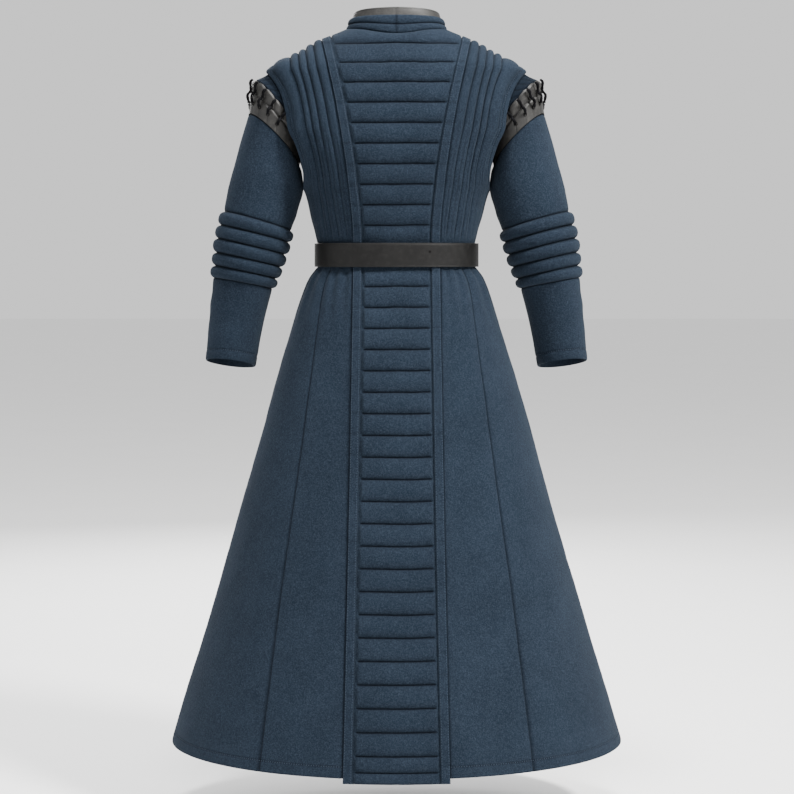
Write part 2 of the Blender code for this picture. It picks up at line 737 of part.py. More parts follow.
def front_columns(seam):
    # Distances from the centre line: the edge, the step over the other front, then the panel.
    step_end = STEP_COLUMNS[-1]
    step = [lambda z, x=x: x + 0.0 * z for x in STEP_COLUMNS]
    panel = [lambda z, share=share: step_end + share * (seam(z) - step_end) for share in FRONT_SHARES]
    return [lambda z: GAP / 2.0 - overlap(z), *step, *panel, lambda z: seam(z) - GAP / 2.0]


def make_front(side, name):
    rows = bodice_rows((0.0,))
    part, level, _ = rows
    columns = front_columns(seam_x)
    parts = np.array([float(column(FIRST_LINE)) for column in columns])
    parts = (parts - parts[0]) / (parts[-1] - parts[0])
    corner = float(parts[NECK_CORNER])
    centre_first = FRONT_NECK - FRONT_LINE_DROP
    angles, heights, raises = [], [], []
    for column, across in zip(columns, parts):
        top_angle, top_height = top_edge(float(across), corner, math.pi, front=True)
        first = centre_first + (FIRST_LINE - centre_first) * across
        height = level * (first / FIRST_LINE)
        height = np.where(level <= WAIST_EDGE, WAIST_EDGE, height)
        height = np.where(part < 1.0, top_height + (first - top_height) * part, height)
        low_angle = angle_at_x(column(height), height, True)
        first_angle = angle_at_x(column(first), first, True)
        angle = np.where(part < 1.0, top_angle + (first_angle - top_angle) * part, low_angle)
        angles.append(side * angle)
        heights.append(height)
        raises.append(front_raise(column(height), height) if side < 0 else 0.0 * height)
    angle, height = np.array(angles).T, np.array(heights).T
    count = len(part)
    return body_wall(name, angle, height, 0.0, list(range(count)), list(range(len(columns))),
                     np.array(raises).T)


def skirt_line(k):
    return SKIRT_LINE - SKIRT_PITCH * k - SKIRT_PITCH_GROWTH * k * k


def make_skirt_centre():
    heights, bows = [-WAIST_EDGE, SKIRT_LINE * 0.5], [0.0, 0.0]
    for k in range(SKIRT_LINES - 1):
        for t in ROW_STEPS:
            heights.append(skirt_line(k) * (1 - t) + skirt_line(k + 1) * t)
            bows.append(float(bow(t)))
    last = skirt_line(SKIRT_LINES - 1)
    for t in (0.0, 0.5):
        heights.append(last * (1 - t) + HEM_LINE * t)
        bows.append(float(bow(t)))
    heights += [HEM_LINE, HEM_LINE - HEM_ROLL, PANEL_HEM]
    bows += [0.0, HEM_RISE, HEM_RISE]
    height = np.array(heights)
    half = CENTRE_PANEL.at("half_width", height)
    columns = ((seam_x(height) - GAP / 2.0, 0.0), (half - PANEL_FLAT, 0.0),
               (half - PANEL_MARGIN, 1.0), (SKIRT_PANEL_COLUMN * half, 1.0))
    angles = [angle_at_x(x, height) for x, _ in columns]
    angle = np.array(angles + [-a for a in reversed(angles)]).T
    rise = np.array([r for _, r in columns] + [r for _, r in reversed(columns)])
    level = height[:, None] * np.ones_like(angle)
    relief = CHANNEL_RISE * np.array(bows)[:, None] * rise * belt_fade(level)
    # The inner face keeps few rows: closer ones on the bend below the belt, then long plain ones.
    count = len(height)
    inner_rows = [0, 1] + list(range(2, 14, 4)) + list(range(18, count - 5, 16)) + [count - 1]
    return body_wall("skirt_back_centre", angle, level, relief, inner_rows, [0, 2, 5, 7])


def skirt_rows(hem):
    below = np.linspace(SKIRT_PLAIN_TOP, hem, SKIRT_PLAIN_ROWS)
    return np.concatenate([[-WAIST_EDGE], -np.array(NEAR_BELT), below])


def make_skirt_band(side, name):
    height = skirt_rows(PANEL_HEM)
    offsets = (-BAND_WIDTH / 2.0, 0.0, BAND_WIDTH / 2.0)
    angle = np.array([side * angle_at_x(seam_x(height) + offset, height) for offset in offsets]).T
    level = height[:, None] * np.ones_like(angle)
    relief = np.array([0.0, BAND_RISE, 0.0])[None, :] * np.ones_like(angle)
    return body_wall(name, angle, level, relief, list(range(len(height))), [0, 2],
                     CLOTH + BAND_CLEAR)


def gathers(height, columns):
    # Soft gathers under the belt: every second inner column stands out, and they fade down the skirt.
    index = np.arange(columns)
    wave = (index % 2 == 0) * (index > 0) * (index < columns - 1)
    start = smooth_step((-height - GATHERS["start"]) / GATHERS["grow"])
    fade = start * (1.0 - smooth_step((-height - GATHERS["full"]) / GATHERS["fade"]))
    return GATHERS["rise"] * fade[:, None] * wave[None, :]


def seam_shift(height):
    return GAP / (2.0 * BODY.at("half_width", height)) * SEAM_SLANT


def gore_inner_rows(count):
    # All rows near the belt, then every second one; the last row is always there.
    near = len(NEAR_BELT) + 1
    return list(range(near)) + list(range(near + 1, count - 1, 2)) + [count - 1]


def make_gore(name, side, start, end, columns):
    height = skirt_rows(HEM)
    across = np.linspace(0.0, 1.0, columns)
    angle = start(height)[:, None] + (end(height) - start(height))[:, None] * across[None, :]
    level = height[:, None] * np.ones_like(angle)
    relief = gathers(height, columns)
    rows = gore_inner_rows(len(height))
    inner_columns = list(range(0, columns, 2))
    return body_wall(name, side * angle, level, relief, rows, inner_columns)


def make_front_gore(name, side, seam):
    height = skirt_rows(HEM)

    def seam_width(z):
        point = body_point(seam(z), z)
        return np.abs(point[..., 0])

    columns = front_columns(seam_width)
    x = np.array([column(height) for column in columns]).T
    level = height[:, None] * np.ones_like(x)
    angle = angle_at_x(x, level, True)
    angle[:, -1] = seam(height)
    lift = front_raise(x, level) if side < 0 else 0.0
    return body_wall(name, side * angle, level, 0.0, gore_inner_rows(len(height)),
                     [0, 1, 2, 4, 5, 7], lift)


def make_skirt():
    make_skirt_centre()
    for side, word in ((1.0, "left"), (-1.0, "right")):
        make_skirt_band(side, "skirt_band_" + word)

        def back_start(z):
            return angle_at_x(seam_x(z) + GAP / 2.0, z)

        def back_end(z):
            return np.radians(GORE_SEAM.at("angle", z)) - seam_shift(z)

        def side_start(z):
            return np.radians(GORE_SEAM.at("angle", z)) + seam_shift(z)

        def side_end(z):
            return math.pi - np.radians(GORE_SEAM.at("angle", z)) - seam_shift(z)

        def front_start(z):
            return math.pi - np.radians(GORE_SEAM.at("angle", z)) + seam_shift(z)

        make_gore("skirt_back_gore_" + word, side, back_start, back_end, GORE_COLUMNS["back"])
        make_gore("skirt_side_gore_" + word, side, side_start, side_end, GORE_COLUMNS["side"])
        make_front_gore("skirt_front_gore_" + word, side, front_start)


def make_collar(name, finish, top_name, form):
    # A standing wall on the neckline, from the right front edge round the back to the left one.
    turn = np.linspace(-COLLAR_END, COLLAR_END, COLLAR_COLUMNS)
    _, seam = neck_edge(np.abs(turn))
    low = seam + form["bottom"]
    high = COLLAR_TOP.at(top_name, np.degrees(np.abs(turn)))
    t = np.array(form["steps"])[:, None]
    height = low + (high - low) * t
    lean = COLLAR_LEAN * (height - seam) / COLLAR_LEAN_HEIGHT
    behind = np.cos(turn) > 0
    half_width = NECK_HALF_WIDTH + form["outset"] - lean
    depth = np.where(behind, NECK_BACK, NECK_FRONT) + form["outset"] - COLLAR_DEPTH_SHARE * lean

    def ring(extra):
        x = (half_width + extra) * np.sin(turn)
        y = (depth + extra) * np.cos(turn)
        return np.stack(np.broadcast_arrays(x, y, height), axis=-1)

    swell = form["rise"] * bow((2.0 * t) % 1.0) * (t < 1.0)
    return plate(name, finish, ring(swell), ring(-form["wall"]), [0, len(form["steps"]) - 1],
                 list(range(COLLAR_COLUMNS)))


def ring_points(shape, count, grow=0.0):
    # Oval rings from their centre, half sizes, tilt and back lift; point 0 is the outer side.
    # Each size is one value, a column with one value for each ring, or a full grid.
    turn = np.linspace(0.0, 2.0 * math.pi, count, endpoint=False)
    tilt = np.radians(shape["tilt"])
    wide = (shape["half_width"] + grow) * np.cos(turn)
    deep = (shape["half_depth"] + grow) * np.sin(turn)
    x = shape["x"] + wide * np.cos(tilt)
    y = shape["y"] + deep
    z = shape["z"] + wide * np.sin(tilt) + shape["back_lift"] * np.sin(turn)
    return np.stack(np.broadcast_arrays(x, y, z), axis=-1)


def sleeve_shape(stations):
    names = ("x", "y", "z", "half_width", "half_depth", "tilt", "back_lift")
    return {name: SLEEVE.at(name, stations) for name in names}


def sleeve_stations():
    # Rows down the arm with their rise: plain upper arm, five padded rings, plain forearm.
    rows = [(station, 0.0) for station in UPPER_ARM_ROWS]
    for start, end in zip(RIB_STATIONS, RIB_STATIONS[1:]):
        for t in RIB_STEPS:
            rows.append((start + (end - start) * t, RIB_RISE * float(bow(t))))
    rows += [(station, 0.0) for station in (RIB_STATIONS[-1], *FOREARM_ROWS)]
    return np.array(rows).T


def make_sleeve(side, name):
    stations, rise = sleeve_stations()
    outer = ring_points(sleeve_shape(stations[:, None]), SLEEVE_SIDES, rise[:, None])
    keep = [*SLEEVE_INNER_ROWS, len(stations) - 1]
    inner = ring_points(sleeve_shape(stations[keep][:, None]), SLEEVE_SIDES, -CLOTH)
    return tube(name, "blue_felt", mirror_x(outer, side), mirror_x(inner, side))


def leather_shape(t):
    # From the top edge of the leather band (0) to the seam with the sleeve (1).
    end = sleeve_shape(np.array(0.0))
    t = np.asarray(t, dtype=float)
    return {name: BAND_TOP[name] + (float(end[name]) - BAND_TOP[name]) * t for name in BAND_TOP}


def make_leather_band(side, name):
    count = TABS * 2
    rows = {name: column[:, None] for name, column in LEATHER_BAND.columns.items()}
    tab = np.arange(count) % 2
    swell = TAB_PUFF * rows["puff"] * (TAB_BETWEEN + (1.0 - TAB_BETWEEN) * tab)
    down = rows["down"] - TAB_CROWN * tab * rows["crown"]
    outer = ring_points(leather_shape(down), count, swell)
    inner = ring_points(leather_shape(down[[0, -1]]), count, -LEATHER)
    return tube(name, "trim_leather", mirror_x(outer, side), mirror_x(inner, side))


def grid_normal(points):
    # Normals of a ring grid from the differences of neighbouring points.
    along = np.roll(points, -1, axis=1) - np.roll(points, 1, axis=1)
    down = np.gradient(points, axis=0)
    return unit(np.cross(along, down))


def armhole_ring(turn, grow, depth):
    # Points round the armhole, on the body or a little inside it; turn 0 is the top.
    back_angle, back_height = armhole(np.abs(turn), False, grow)
    front_angle, front_height = armhole(np.abs(turn), True, grow)
    angle = np.where(turn >= 0, back_angle, front_angle)
    height = np.where(turn >= 0, back_height, front_height)
    return body_point(angle, height) + body_normal(angle, height) * depth


def make_under_cap(side, name):
    count = UNDER_CAP_SIDES
    turn = np.linspace(0.0, 2.0 * math.pi, count, endpoint=False)
    degrees = np.degrees(np.minimum(turn, 2.0 * math.pi - turn))
    behind = np.radians(UNDER_CAP_TURNS.at("back", degrees))
    before = np.radians(UNDER_CAP_TURNS.at("front", degrees))
    signed = np.where(turn > math.pi, -before, behind)
    inside, inset = -UNDER_CAP["inside"], -UNDER_CAP["inset"]
    first = armhole_ring(signed, UNDER_CAP["beyond"], inside - UNDER_CAP["edge"])
    second = armhole_ring(signed, -UNDER_CAP["within"], inside)
    fourth = ring_points(leather_shape(UNDER_CAP["top"]), count, inset)
    fifth = ring_points(leather_shape(UNDER_CAP["end"]), count, inset)
    # Under the arm it first stands clear of the leather, elsewhere it goes straight across.
    low = smooth_step((-np.cos(turn) - UNDER_CAP["low"]) / UNDER_CAP["lower"])[:, None]
    across = 0.5 * (second + fourth)
    clear = ring_points(leather_shape(UNDER_CAP["armpit"]), count, UNDER_CAP["armpit_out"])
    third = across + low * (clear - across)
    outer = np.stack([first, second, third, fourth, fifth])
    normal = grid_normal(outer)
    if np.sum(normal[-1] * (outer[-1] - outer[-1].mean(axis=0))) < 0:
        normal = -normal
    inner = (outer - UNDER_CAP_WALL * normal)[[0, 2, 3, 4]]
    return tube(name, "under_cloth", mirror_x(outer, side), mirror_x(inner, side))


def make_lace(side, name, turn, way):
    path = []
    for down, beyond, lift in zip(*LACE_PATH.columns.values()):
        ring = ring_points(leather_shape(down), LACE_RING, lift + LACE_RADIUS)
        path.append(ring[int(round(way * (turn + beyond))) % LACE_RING])
    return cord(name, mirror_x(np.array(path), side), LACE_RADIUS, "lace_cord")


def cord(name, path, radius, finish, closed=False):
    curve = bpy.data.curves.new(name, "CURVE")
    curve.dimensions = "3D"
    curve.bevel_depth = radius
    curve.bevel_resolution = CORD_RESOLUTION
    curve.use_fill_caps = True
    spline = curve.splines.new("POLY")
    spline.points.add(len(path) - 1)
    for point, place_xyz in zip(spline.points, path):
        point.co = (*place_xyz, 1.0)
    spline.use_cyclic_u = closed
    spline.use_smooth = True
    return place(bpy.data.objects.new(name, curve), finish)


def belt_point(turn, lift, height):
    # Turn 0 is the centre front; it grows towards the wearer's left and on round the back.
    angle = math.pi - np.asarray(turn, dtype=float)
    power = 2.0 / BELT["power"]
    depth = np.where(np.cos(angle) > 0, BELT["back"], BELT["front"])
    x = (BELT["half_width"] + lift) * signed_power(np.sin(angle), power)
    y = (depth + lift) * signed_power(np.cos(angle), power)
    return np.stack(np.broadcast_arrays(x, y, height), axis=-1)


def belt_lift(turn):
    # The strap steps out before the buckle, and its free end then lies on the first turn.
    return BELT_STEP * smooth_step((turn - STEP_START) / STEP_LENGTH)


def make_belt():
    turn = np.linspace(BELT_START, BELT_END, BELT_RINGS)
    taper = TIP_WIDTH + (1.0 - TIP_WIDTH) * smooth_step((BELT_END - turn) / TIP_LENGTH)
    height = BELT_WIDTH / 2.0 * taper
    lift = belt_lift(turn)
    corners = ((lift, -height), (lift, height),
               (lift + BELT_THICKNESS, height), (lift + BELT_THICKNESS, -height))
    rings = np.stack([belt_point(turn, out, level) for out, level in corners], axis=1)
    points = rings.reshape(-1, 3)
    sides = len(corners)
    faces = []
    for r in range(len(turn) - 1):
        for c in range(sides):
            beside = (c + 1) % sides
            faces.append((r * sides + c, r * sides + beside,
                          (r + 1) * sides + beside, (r + 1) * sides + c))
    last = (len(turn) - 1) * sides
    faces.append(tuple(range(sides)))
    faces.append(tuple(last + c for c in reversed(range(sides))))
    return solid("belt_strap", "belt_leather", points, faces)


def make_buckle():
    half = BELT_WIDTH / 2.0 + FRAME_BAR + FRAME_CLEAR
    hinge_lift = BELT_STEP - FRAME_BAR - HINGE_CLEAR
    frame_lift = BELT_STEP + BELT_THICKNESS + FRAME_BAR + FRAME_ABOVE
    short = half * CORNER_SHARE
    top = (
        (HINGE_TURN, hinge_lift, short),
        (HINGE_TURN - FRAME_CORNER, hinge_lift + CORNER_LIFT, half),
        (FRAME_TURN + FRAME_CORNER, frame_lift - CORNER_LIFT, half),
        (FRAME_TURN, frame_lift, short),
    )
    bottom = [(turn, lift, -level) for turn, lift, level in reversed(top)]
    path = np.array([belt_point(*corner_place) for corner_place in (*top, *bottom)])
    cord("buckle_frame", path, FRAME_BAR, "buckle_steel", closed=True)
    on_belt = BELT_STEP + BELT_THICKNESS + PRONG
    on_frame = on_belt + 2.0 * FRAME_BAR
    steps = [(HINGE_TURN - math.radians(back), on_belt + lift) for back, lift in PRONG_HINGE]
    steps += [(FRAME_TURN + math.radians(back), on_frame + lift) for back, lift in PRONG_FRAME]
    path = np.array([belt_point(turn, lift, 0.0) for turn, lift in steps])
    cord("buckle_prong", path, PRONG, "buckle_steel")


def make_keeper():
    # A leather loop round both layers of the belt beside the buckle.
    turns = np.radians(KEEPER_TURNS)
    half = BELT_WIDTH / 2.0 + KEEPER_CLEAR
    low, high = -KEEPER_BELOW, BELT_STEP + BELT_THICKNESS + KEEPER_CLEAR

    def loop(turn, extra):
        corners = ((low - extra, half + extra), (high + extra, half + extra),
                   (high + extra, -half - extra), (low - extra, -half - extra))
        return np.array([belt_point(turn, lift, level) for lift, level in corners])

    outer = np.stack([loop(turn, KEEPER_WALL) for turn in turns])
    inner = np.stack([loop(turn, 0.0) for turn in turns])
    return tube("belt_keeper", "belt_leather", outer, inner)


def main():
    for old in list(bpy.data.objects):
        bpy.data.objects.remove(old, do_unlink=True)
    collection = bpy.data.collections.new(COLLECTION)
    bpy.context.scene.collection.children.link(collection)
    make_back_centre()
    for side, word in ((1.0, "left"), (-1.0, "right")):
        make_bodice_band(side, "back_band_" + word)
        make_side_panel(side, "back_side_" + word, (0.0, 0.5), front=False)
        make_side_panel(side, "front_side_" + word, (0.0,), front=True)
        make_front(side, "front_" + word)
    make_skirt()
    make_collar("collar_cloth", "blue_felt", "cloth", CLOTH_COLLAR)
    make_collar("collar_leather", "trim_leather", "leather", LEATHER_COLLAR)
    for side, word in ((1.0, "left"), (-1.0, "right")):
        make_sleeve(side, "sleeve_" + word)
        make_leather_band(side, "sleeve_leather_" + word)
        make_under_cap(side, "under_cap_" + word)
        for k in range(LACES):
            turn = FIRST_EYELET + EYELET_STEP * k
            make_lace(side, f"lace_back_{word}_{k + 1}", turn, 1)
            make_lace(side, f"lace_front_{word}_{k + 1}", turn, -1)
    make_belt()
    make_buckle()
    make_keeper()


main()
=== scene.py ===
import math

import bpy
import numpy as np
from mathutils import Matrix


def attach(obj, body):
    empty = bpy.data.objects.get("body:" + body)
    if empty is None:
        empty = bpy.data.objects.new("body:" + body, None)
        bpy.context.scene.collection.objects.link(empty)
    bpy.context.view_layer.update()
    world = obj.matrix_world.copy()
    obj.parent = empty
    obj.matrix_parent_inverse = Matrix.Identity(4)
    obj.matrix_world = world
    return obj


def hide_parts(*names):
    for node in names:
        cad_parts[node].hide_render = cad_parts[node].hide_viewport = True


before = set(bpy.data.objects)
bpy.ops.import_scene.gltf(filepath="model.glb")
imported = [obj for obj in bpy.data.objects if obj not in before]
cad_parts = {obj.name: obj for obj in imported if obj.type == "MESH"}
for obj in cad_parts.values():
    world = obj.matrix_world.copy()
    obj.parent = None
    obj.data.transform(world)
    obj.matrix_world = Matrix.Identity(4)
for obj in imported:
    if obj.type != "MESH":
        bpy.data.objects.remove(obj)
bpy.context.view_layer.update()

# Quilted long coat: metres, +Z up, back of the coat towards +Y, wearer's left towards +X.
# Heights in the tables are measured from the waist line; angles run round the body from the
# centre back (0) over the side to the centre front (180 degrees).
waistHeight = -0.447
gap = 0.0003                 # between the solids at their seams
seamGap = 0.00004            # what is left of it between the cloth pieces
clothWall = 0.003
leatherWall = 0.0025
skirtHem = -0.966
panelHem = -0.975
waistEdge = gap / 2.0

firstLine = 0.4145           # highest sewn line across the centre back
bodicePitch = 0.0396
bodiceChannels = 10
fineChannels = 2
skirtFirst = -0.0214         # first sewn line below the waist
skirtPitch = 0.0400
skirtGrowth = 0.000052
skirtLines = 23
hemLine = -0.955
channelRise = 0.0042
bandWidth = 0.017
bandClear = 0.0010
panelFlat = 0.0018
panelMargin = 0.008

armhole = {"centre": 0.2475, "halfHeight": 0.1165, "halfDepth": 0.084, "power": 2.3,
           "turn": math.radians(38)}
neck = {"halfWidth": 0.098, "back": 0.075, "front": 0.085, "top": 0.447}
front = {"overlap": 0.020, "raise": 0.0042, "neck": 0.385, "stepEnd": 0.056}
belt = {"halfWidth": 0.1605, "back": 0.1155, "front": 0.1245, "power": 2.12, "width": 0.047,
        "thickness": 0.0035, "step": 0.0054, "start": math.radians(9),
        "end": 2.0 * math.pi + math.radians(38), "hinge": math.radians(5),
        "frame": math.radians(-9)}
seamShoulder = 0.4305        # height at which the raised band's seam meets the shoulder line


def smoothValue(where, places, values):
    # Monotone cubic through the points: each slope is the harmonic mean of its neighbours'.
    steps = np.diff(places)
    slopes = np.diff(values) / steps
    product = slopes[:-1] * slopes[1:]
    total = np.where(product > 0, slopes[:-1] + slopes[1:], 1.0)
    middle = np.where(product > 0, 2.0 * product / total, 0.0)
    tangents = np.concatenate([slopes[:1], middle, slopes[-1:]])
    index = np.clip(np.searchsorted(places, where) - 1, 0, len(steps) - 1)
    step = steps[index]
    t = (where - places[index]) / step
    start, end = values[index], values[index + 1]
    return (start + (end - start) * t * t * (3.0 - 2.0 * t)
            + step * tangents[index] * t * (1.0 - t) ** 2
            - step * tangents[index + 1] * t * t * (1.0 - t))


class Table:
    # A short table with named columns, read as smooth functions of the first one.
    def __init__(self, names, rows):
        self.columns = dict(zip(names, np.array(rows, dtype=float).T))
        self.places = self.columns[names[0]]

    def at(self, name, where):
        return smoothValue(np.asarray(where, dtype=float), self.places, self.columns[name])


body = Table(
    ("height", "halfWidth", "back", "front", "power"),
    (
        (-0.990, 0.454, 0.316, 0.296, 2.00),
        (-0.890, 0.425, 0.295, 0.278, 2.00),
        (-0.730, 0.375, 0.260, 0.247, 2.00),
        (-0.570, 0.329, 0.227, 0.218, 2.00),
        (-0.410, 0.284, 0.195, 0.190, 2.02),
        (-0.250, 0.240, 0.164, 0.163, 2.05),
        (-0.154, 0.211, 0.143, 0.145, 2.08),
        (-0.070, 0.182, 0.123, 0.127, 2.10),
        (-0.045, 0.1705, 0.115, 0.121, 2.10),
        (-0.027, 0.1580, 0.1105, 0.118, 2.10),
        (0.000, 0.1535, 0.108, 0.115, 2.10),
        (0.026, 0.158, 0.1100, 0.118, 2.15),
        (0.050, 0.163, 0.1125, 0.122, 2.20),
        (0.074, 0.170, 0.1165, 0.128, 2.22),
        (0.118, 0.181, 0.123, 0.136, 2.25),
        (0.155, 0.1985, 0.1275, 0.142, 2.30),
        (0.214, 0.236, 0.132, 0.146, 2.30),
        (0.251, 0.2585, 0.132, 0.143, 2.30),
        (0.294, 0.261, 0.130, 0.133, 2.30),
        (0.364, 0.2595, 0.117, 0.101, 2.30),
        (0.392, 0.213, 0.103, 0.081, 2.30),
        (0.404, 0.188, 0.096, 0.075, 2.30),
        (0.4196, 0.163, 0.087, 0.066, 2.30),
        (0.427, 0.145, 0.082, 0.062, 2.30),
        (0.438, 0.119, 0.073, 0.055, 2.30),
        (0.447, 0.098, 0.066, 0.050, 2.30),
    ),
)

centrePanel = Table(
    ("height", "halfWidth"),
    (
        (-0.975, 0.0820),
        (-0.720, 0.0770),
        (-0.270, 0.0700),
        (0.030, 0.0670),
        (0.150, 0.0770),
        (0.294, 0.1000),
        (0.420, 0.1280),
        (0.447, 0.1335),
    ),
)

goreSeam = Table(
    ("height", "angle"),
    (
        (-0.970, 35.0),
        (-0.854, 36.2),
        (-0.650, 38.8),
        (-0.440, 41.0),
        (-0.245, 44.0),
        (-0.148, 47.0),
        (-0.050, 53.0),
        (0.000, 56.0),
    ),
)

pleats = Table(
    ("groove", "shoulder", "waist"),
    (
        (0, 0.000, 0.000),
        (1, 0.163, 0.070),
        (2, 0.300, 0.200),
        (3, 0.430, 0.330),
        (4, 0.575, 0.480),
        (5, 0.886, 0.960),
        (6, 1.000, 1.000),
    ),
)

sleeveTable = Table(
    ("station", "x", "y", "z", "halfWidth", "halfDepth", "tilt", "backLift"),
    (
        (0.000, 0.2449, 0.000, 0.2280, 0.0695, 0.0740, 43.5, 0.020),
        (0.066, 0.2540, -0.001, 0.1630, 0.0740, 0.0735, 30.0, 0.012),
        (0.118, 0.2669, -0.003, 0.1120, 0.0733, 0.0720, 20.8, 0.007),
        (0.164, 0.2784, -0.005, 0.0677, 0.0697, 0.0700, 15.9, 0.004),
        (0.190, 0.2846, -0.006, 0.0428, 0.0700, 0.0695, 14.3, 0.003),
        (0.217, 0.2918, -0.007, 0.0170, 0.0690, 0.0690, 13.8, 0.003),
        (0.244, 0.2974, -0.009, -0.0096, 0.0663, 0.0665, 12.9, 0.003),
        (0.269, 0.3034, -0.011, -0.0344, 0.0622, 0.0630, 12.3, 0.003),
        (0.292, 0.3084, -0.013, -0.0568, 0.0598, 0.0605, 10.4, 0.003),
        (0.3665, 0.3214, -0.022, -0.1300, 0.0545, 0.0550, 8.5, 0.006),
        (0.455, 0.3344, -0.034, -0.2180, 0.0502, 0.0520, 6.4, 0.010),
    ),
)
ribStations = np.array((0.164, 0.190, 0.217, 0.244, 0.269, 0.292))

bandTop = {"x": 0.238, "y": 0.0, "z": 0.2815, "halfWidth": 0.0743,
           "halfDepth": 0.0780, "tilt": 49.5, "backLift": 0.025}

collarTop = Table(
    ("angle", "cloth", "leather"),
    (
        (0, 0.4725, 0.4890),
        (45, 0.4725, 0.4870),
        (90, 0.4700, 0.4810),
        (135, 0.4500, 0.4610),
        (180, 0.4230, 0.4340),
    ),
)

capTurns = Table(
    ("leather", "back", "front"),
    (
        (0, 0, 0),
        (60, 38, 60),
        (90, 60, 84),
        (120, 82, 105),
        (150, 115, 135),
        (180, 180, 180),
    ),
)


def smoothStep(value):
    # 3t^2 - 2t^3 between 0 and 1.
    t = np.clip(value, 0.0, 1.0)
    return t * t * (3.0 - 2.0 * t)


def signedPower(value, power):
    return np.sign(value) * np.abs(value) ** power


def unit(vectors):
    return vectors / np.maximum(np.linalg.norm(vectors, axis=-1, keepdims=True), 1e-12)


def bell(distance, width):
    # exp(-(d/w)^2): 1 on the line and near 0 two widths away.
    return np.exp(-(distance / width) ** 2)


def bow(t):
    # A channel's cross-section: steep at its sewn lines and round on top.
    return 1.0 - np.abs(2.0 * t - 1.0) ** 2.6


def latticeValue(cells, seed):
    # An integer hash of each lattice point, turned into a value between -1 and 1.
    x, y, z = (cells[..., axis].astype(np.int64) for axis in range(3))
    mixed = (x * 73856093) ^ (y * 19349663) ^ (z * 83492791) ^ (seed * 26544357)
    mixed = (mixed ^ (mixed >> 13)) * 12741261
    return ((mixed ^ (mixed >> 16)) & 0xFFFF) / 32767.5 - 1.0


def softNoise(points, size, seed):
    # Lattice values blended along the three axes with smooth steps.
    cells = points / np.asarray(size)
    base = np.floor(cells)
    part = smoothStep(cells - base)
    total = 0.0
    for corner in np.ndindex(2, 2, 2):
        side = np.array(corner)
        weight = np.prod(np.where(side == 1, part, 1.0 - part), axis=-1)
        total = total + weight * latticeValue(base + side, seed)
    return total


def bodyPoint(angle, height):
    # Superellipse: x = width * sin(angle)^(2/p), y = depth * cos(angle)^(2/p).
    angle, height = np.broadcast_arrays(np.asarray(angle, float), np.asarray(height, float))
    power = 2.0 / body.at("power", height)
    depth = np.where(np.cos(angle) > 0, body.at("back", height), body.at("front", height))
    x = body.at("halfWidth", height) * signedPower(np.sin(angle), power)
    y = depth * signedPower(np.cos(angle), power)
    return np.stack([x, y, height], axis=-1)


def bodyNormal(angle, height):
    # Cross product of the surface's two directions, from small steps.
    step = 1e-4
    along = bodyPoint(angle + step, height) - bodyPoint(angle - step, height)
    up = bodyPoint(angle, height + step) - bodyPoint(angle, height - step)
    return unit(np.cross(up, along))


def angleAtX(x, height, inFront=False):
    # The superellipse turned round: sin(angle) = (x / width)^(p/2).
    ratio = np.clip(np.abs(x) / body.at("halfWidth", height), 0.0, 1.0)
    angle = np.sign(x) * np.arcsin(ratio ** (body.at("power", height) / 2.0))
    return math.pi - angle if inFront else angle


def angleAtY(y, height, inFront=False):
    # The same for a distance from the side: cos(angle) = (y / depth)^(p/2).
    depth = body.at("front" if inFront else "back", height)
    angle = np.arccos(np.clip(y / depth, 0.0, 1.0) ** (body.at("power", height) / 2.0))
    return math.pi - angle if inFront else angle


def shoulderAngle(height, inFront=False):
    return angleAtY(gap / 2.0, height, inFront)


def seamX(height):
    # The seam beside the centre panel lies under the middle of the raised band.
    return centrePanel.at("halfWidth", height) + bandWidth / 2.0


def ridgeHeight(x):
    # Height of the shoulder line at a distance from the centre line.
    heights = np.linspace(0.364, neck["top"], 200)
    return np.interp(-np.asarray(x), -body.at("halfWidth", heights), heights)


def neckEdge(turn):
    # The neckline is an oval in plan; its height is where the oval meets the body, by bisection.
    turn = np.asarray(turn, dtype=float)
    x = neck["halfWidth"] * np.abs(np.sin(turn))
    behind = np.cos(turn) > 0
    y = np.where(behind, neck["back"], neck["front"]) * np.abs(np.cos(turn))
    low = np.full(turn.shape, 0.36)
    high = np.full(turn.shape, neck["top"])
    for _ in range(40):
        middle = (low + high) / 2.0
        depth = np.where(behind, body.at("back", middle), body.at("front", middle))
        power = body.at("power", middle)
        outside = (x / body.at("halfWidth", middle)) ** power + (y / depth) ** power > 1.0
        high = np.where(outside, middle, high)
        low = np.where(outside, low, middle)
    height = (low + high) / 2.0
    half = body.at("power", height) / 2.0
    depth = np.where(behind, body.at("back", height), body.at("front", height))
    angle = np.arctan2((x / body.at("halfWidth", height)) ** half, (y / depth) ** half)
    return np.where(behind, angle, math.pi - angle), height


def armholeEdge(turn, inFront=False, grow=0.0):
    # Turn 0 is the shoulder tip, 180 degrees the armpit: an oval seen from the side.
    rise = np.cos(turn)
    height = armhole["centre"] + (armhole["halfHeight"] + grow) * rise
    reach = (1.0 - np.abs(rise) ** armhole["power"]) ** (1.0 / armhole["power"])
    y = np.maximum((armhole["halfDepth"] + grow) * reach, gap / 2.0)
    return angleAtY(y, height, inFront), height


def topEdge(part, corner, neckStart, inFront=False):
    # The top edge of a centre piece: the neckline up to the corner, then the shoulder line.
    sideTurn = math.pi / 2.0
    if part <= corner:
        angle, height = neckEdge(neckStart + (sideTurn - neckStart) * part / corner)
        limit = shoulderAngle(height, inFront)
        return float(max(angle, limit) if inFront else min(angle, limit)), float(height)
    outer = float(ridgeHeight(seamX(seamShoulder)))
    height = neck["top"] + (outer - neck["top"]) * (part - corner) / (1.0 - corner)
    return float(shoulderAngle(height, inFront)), height


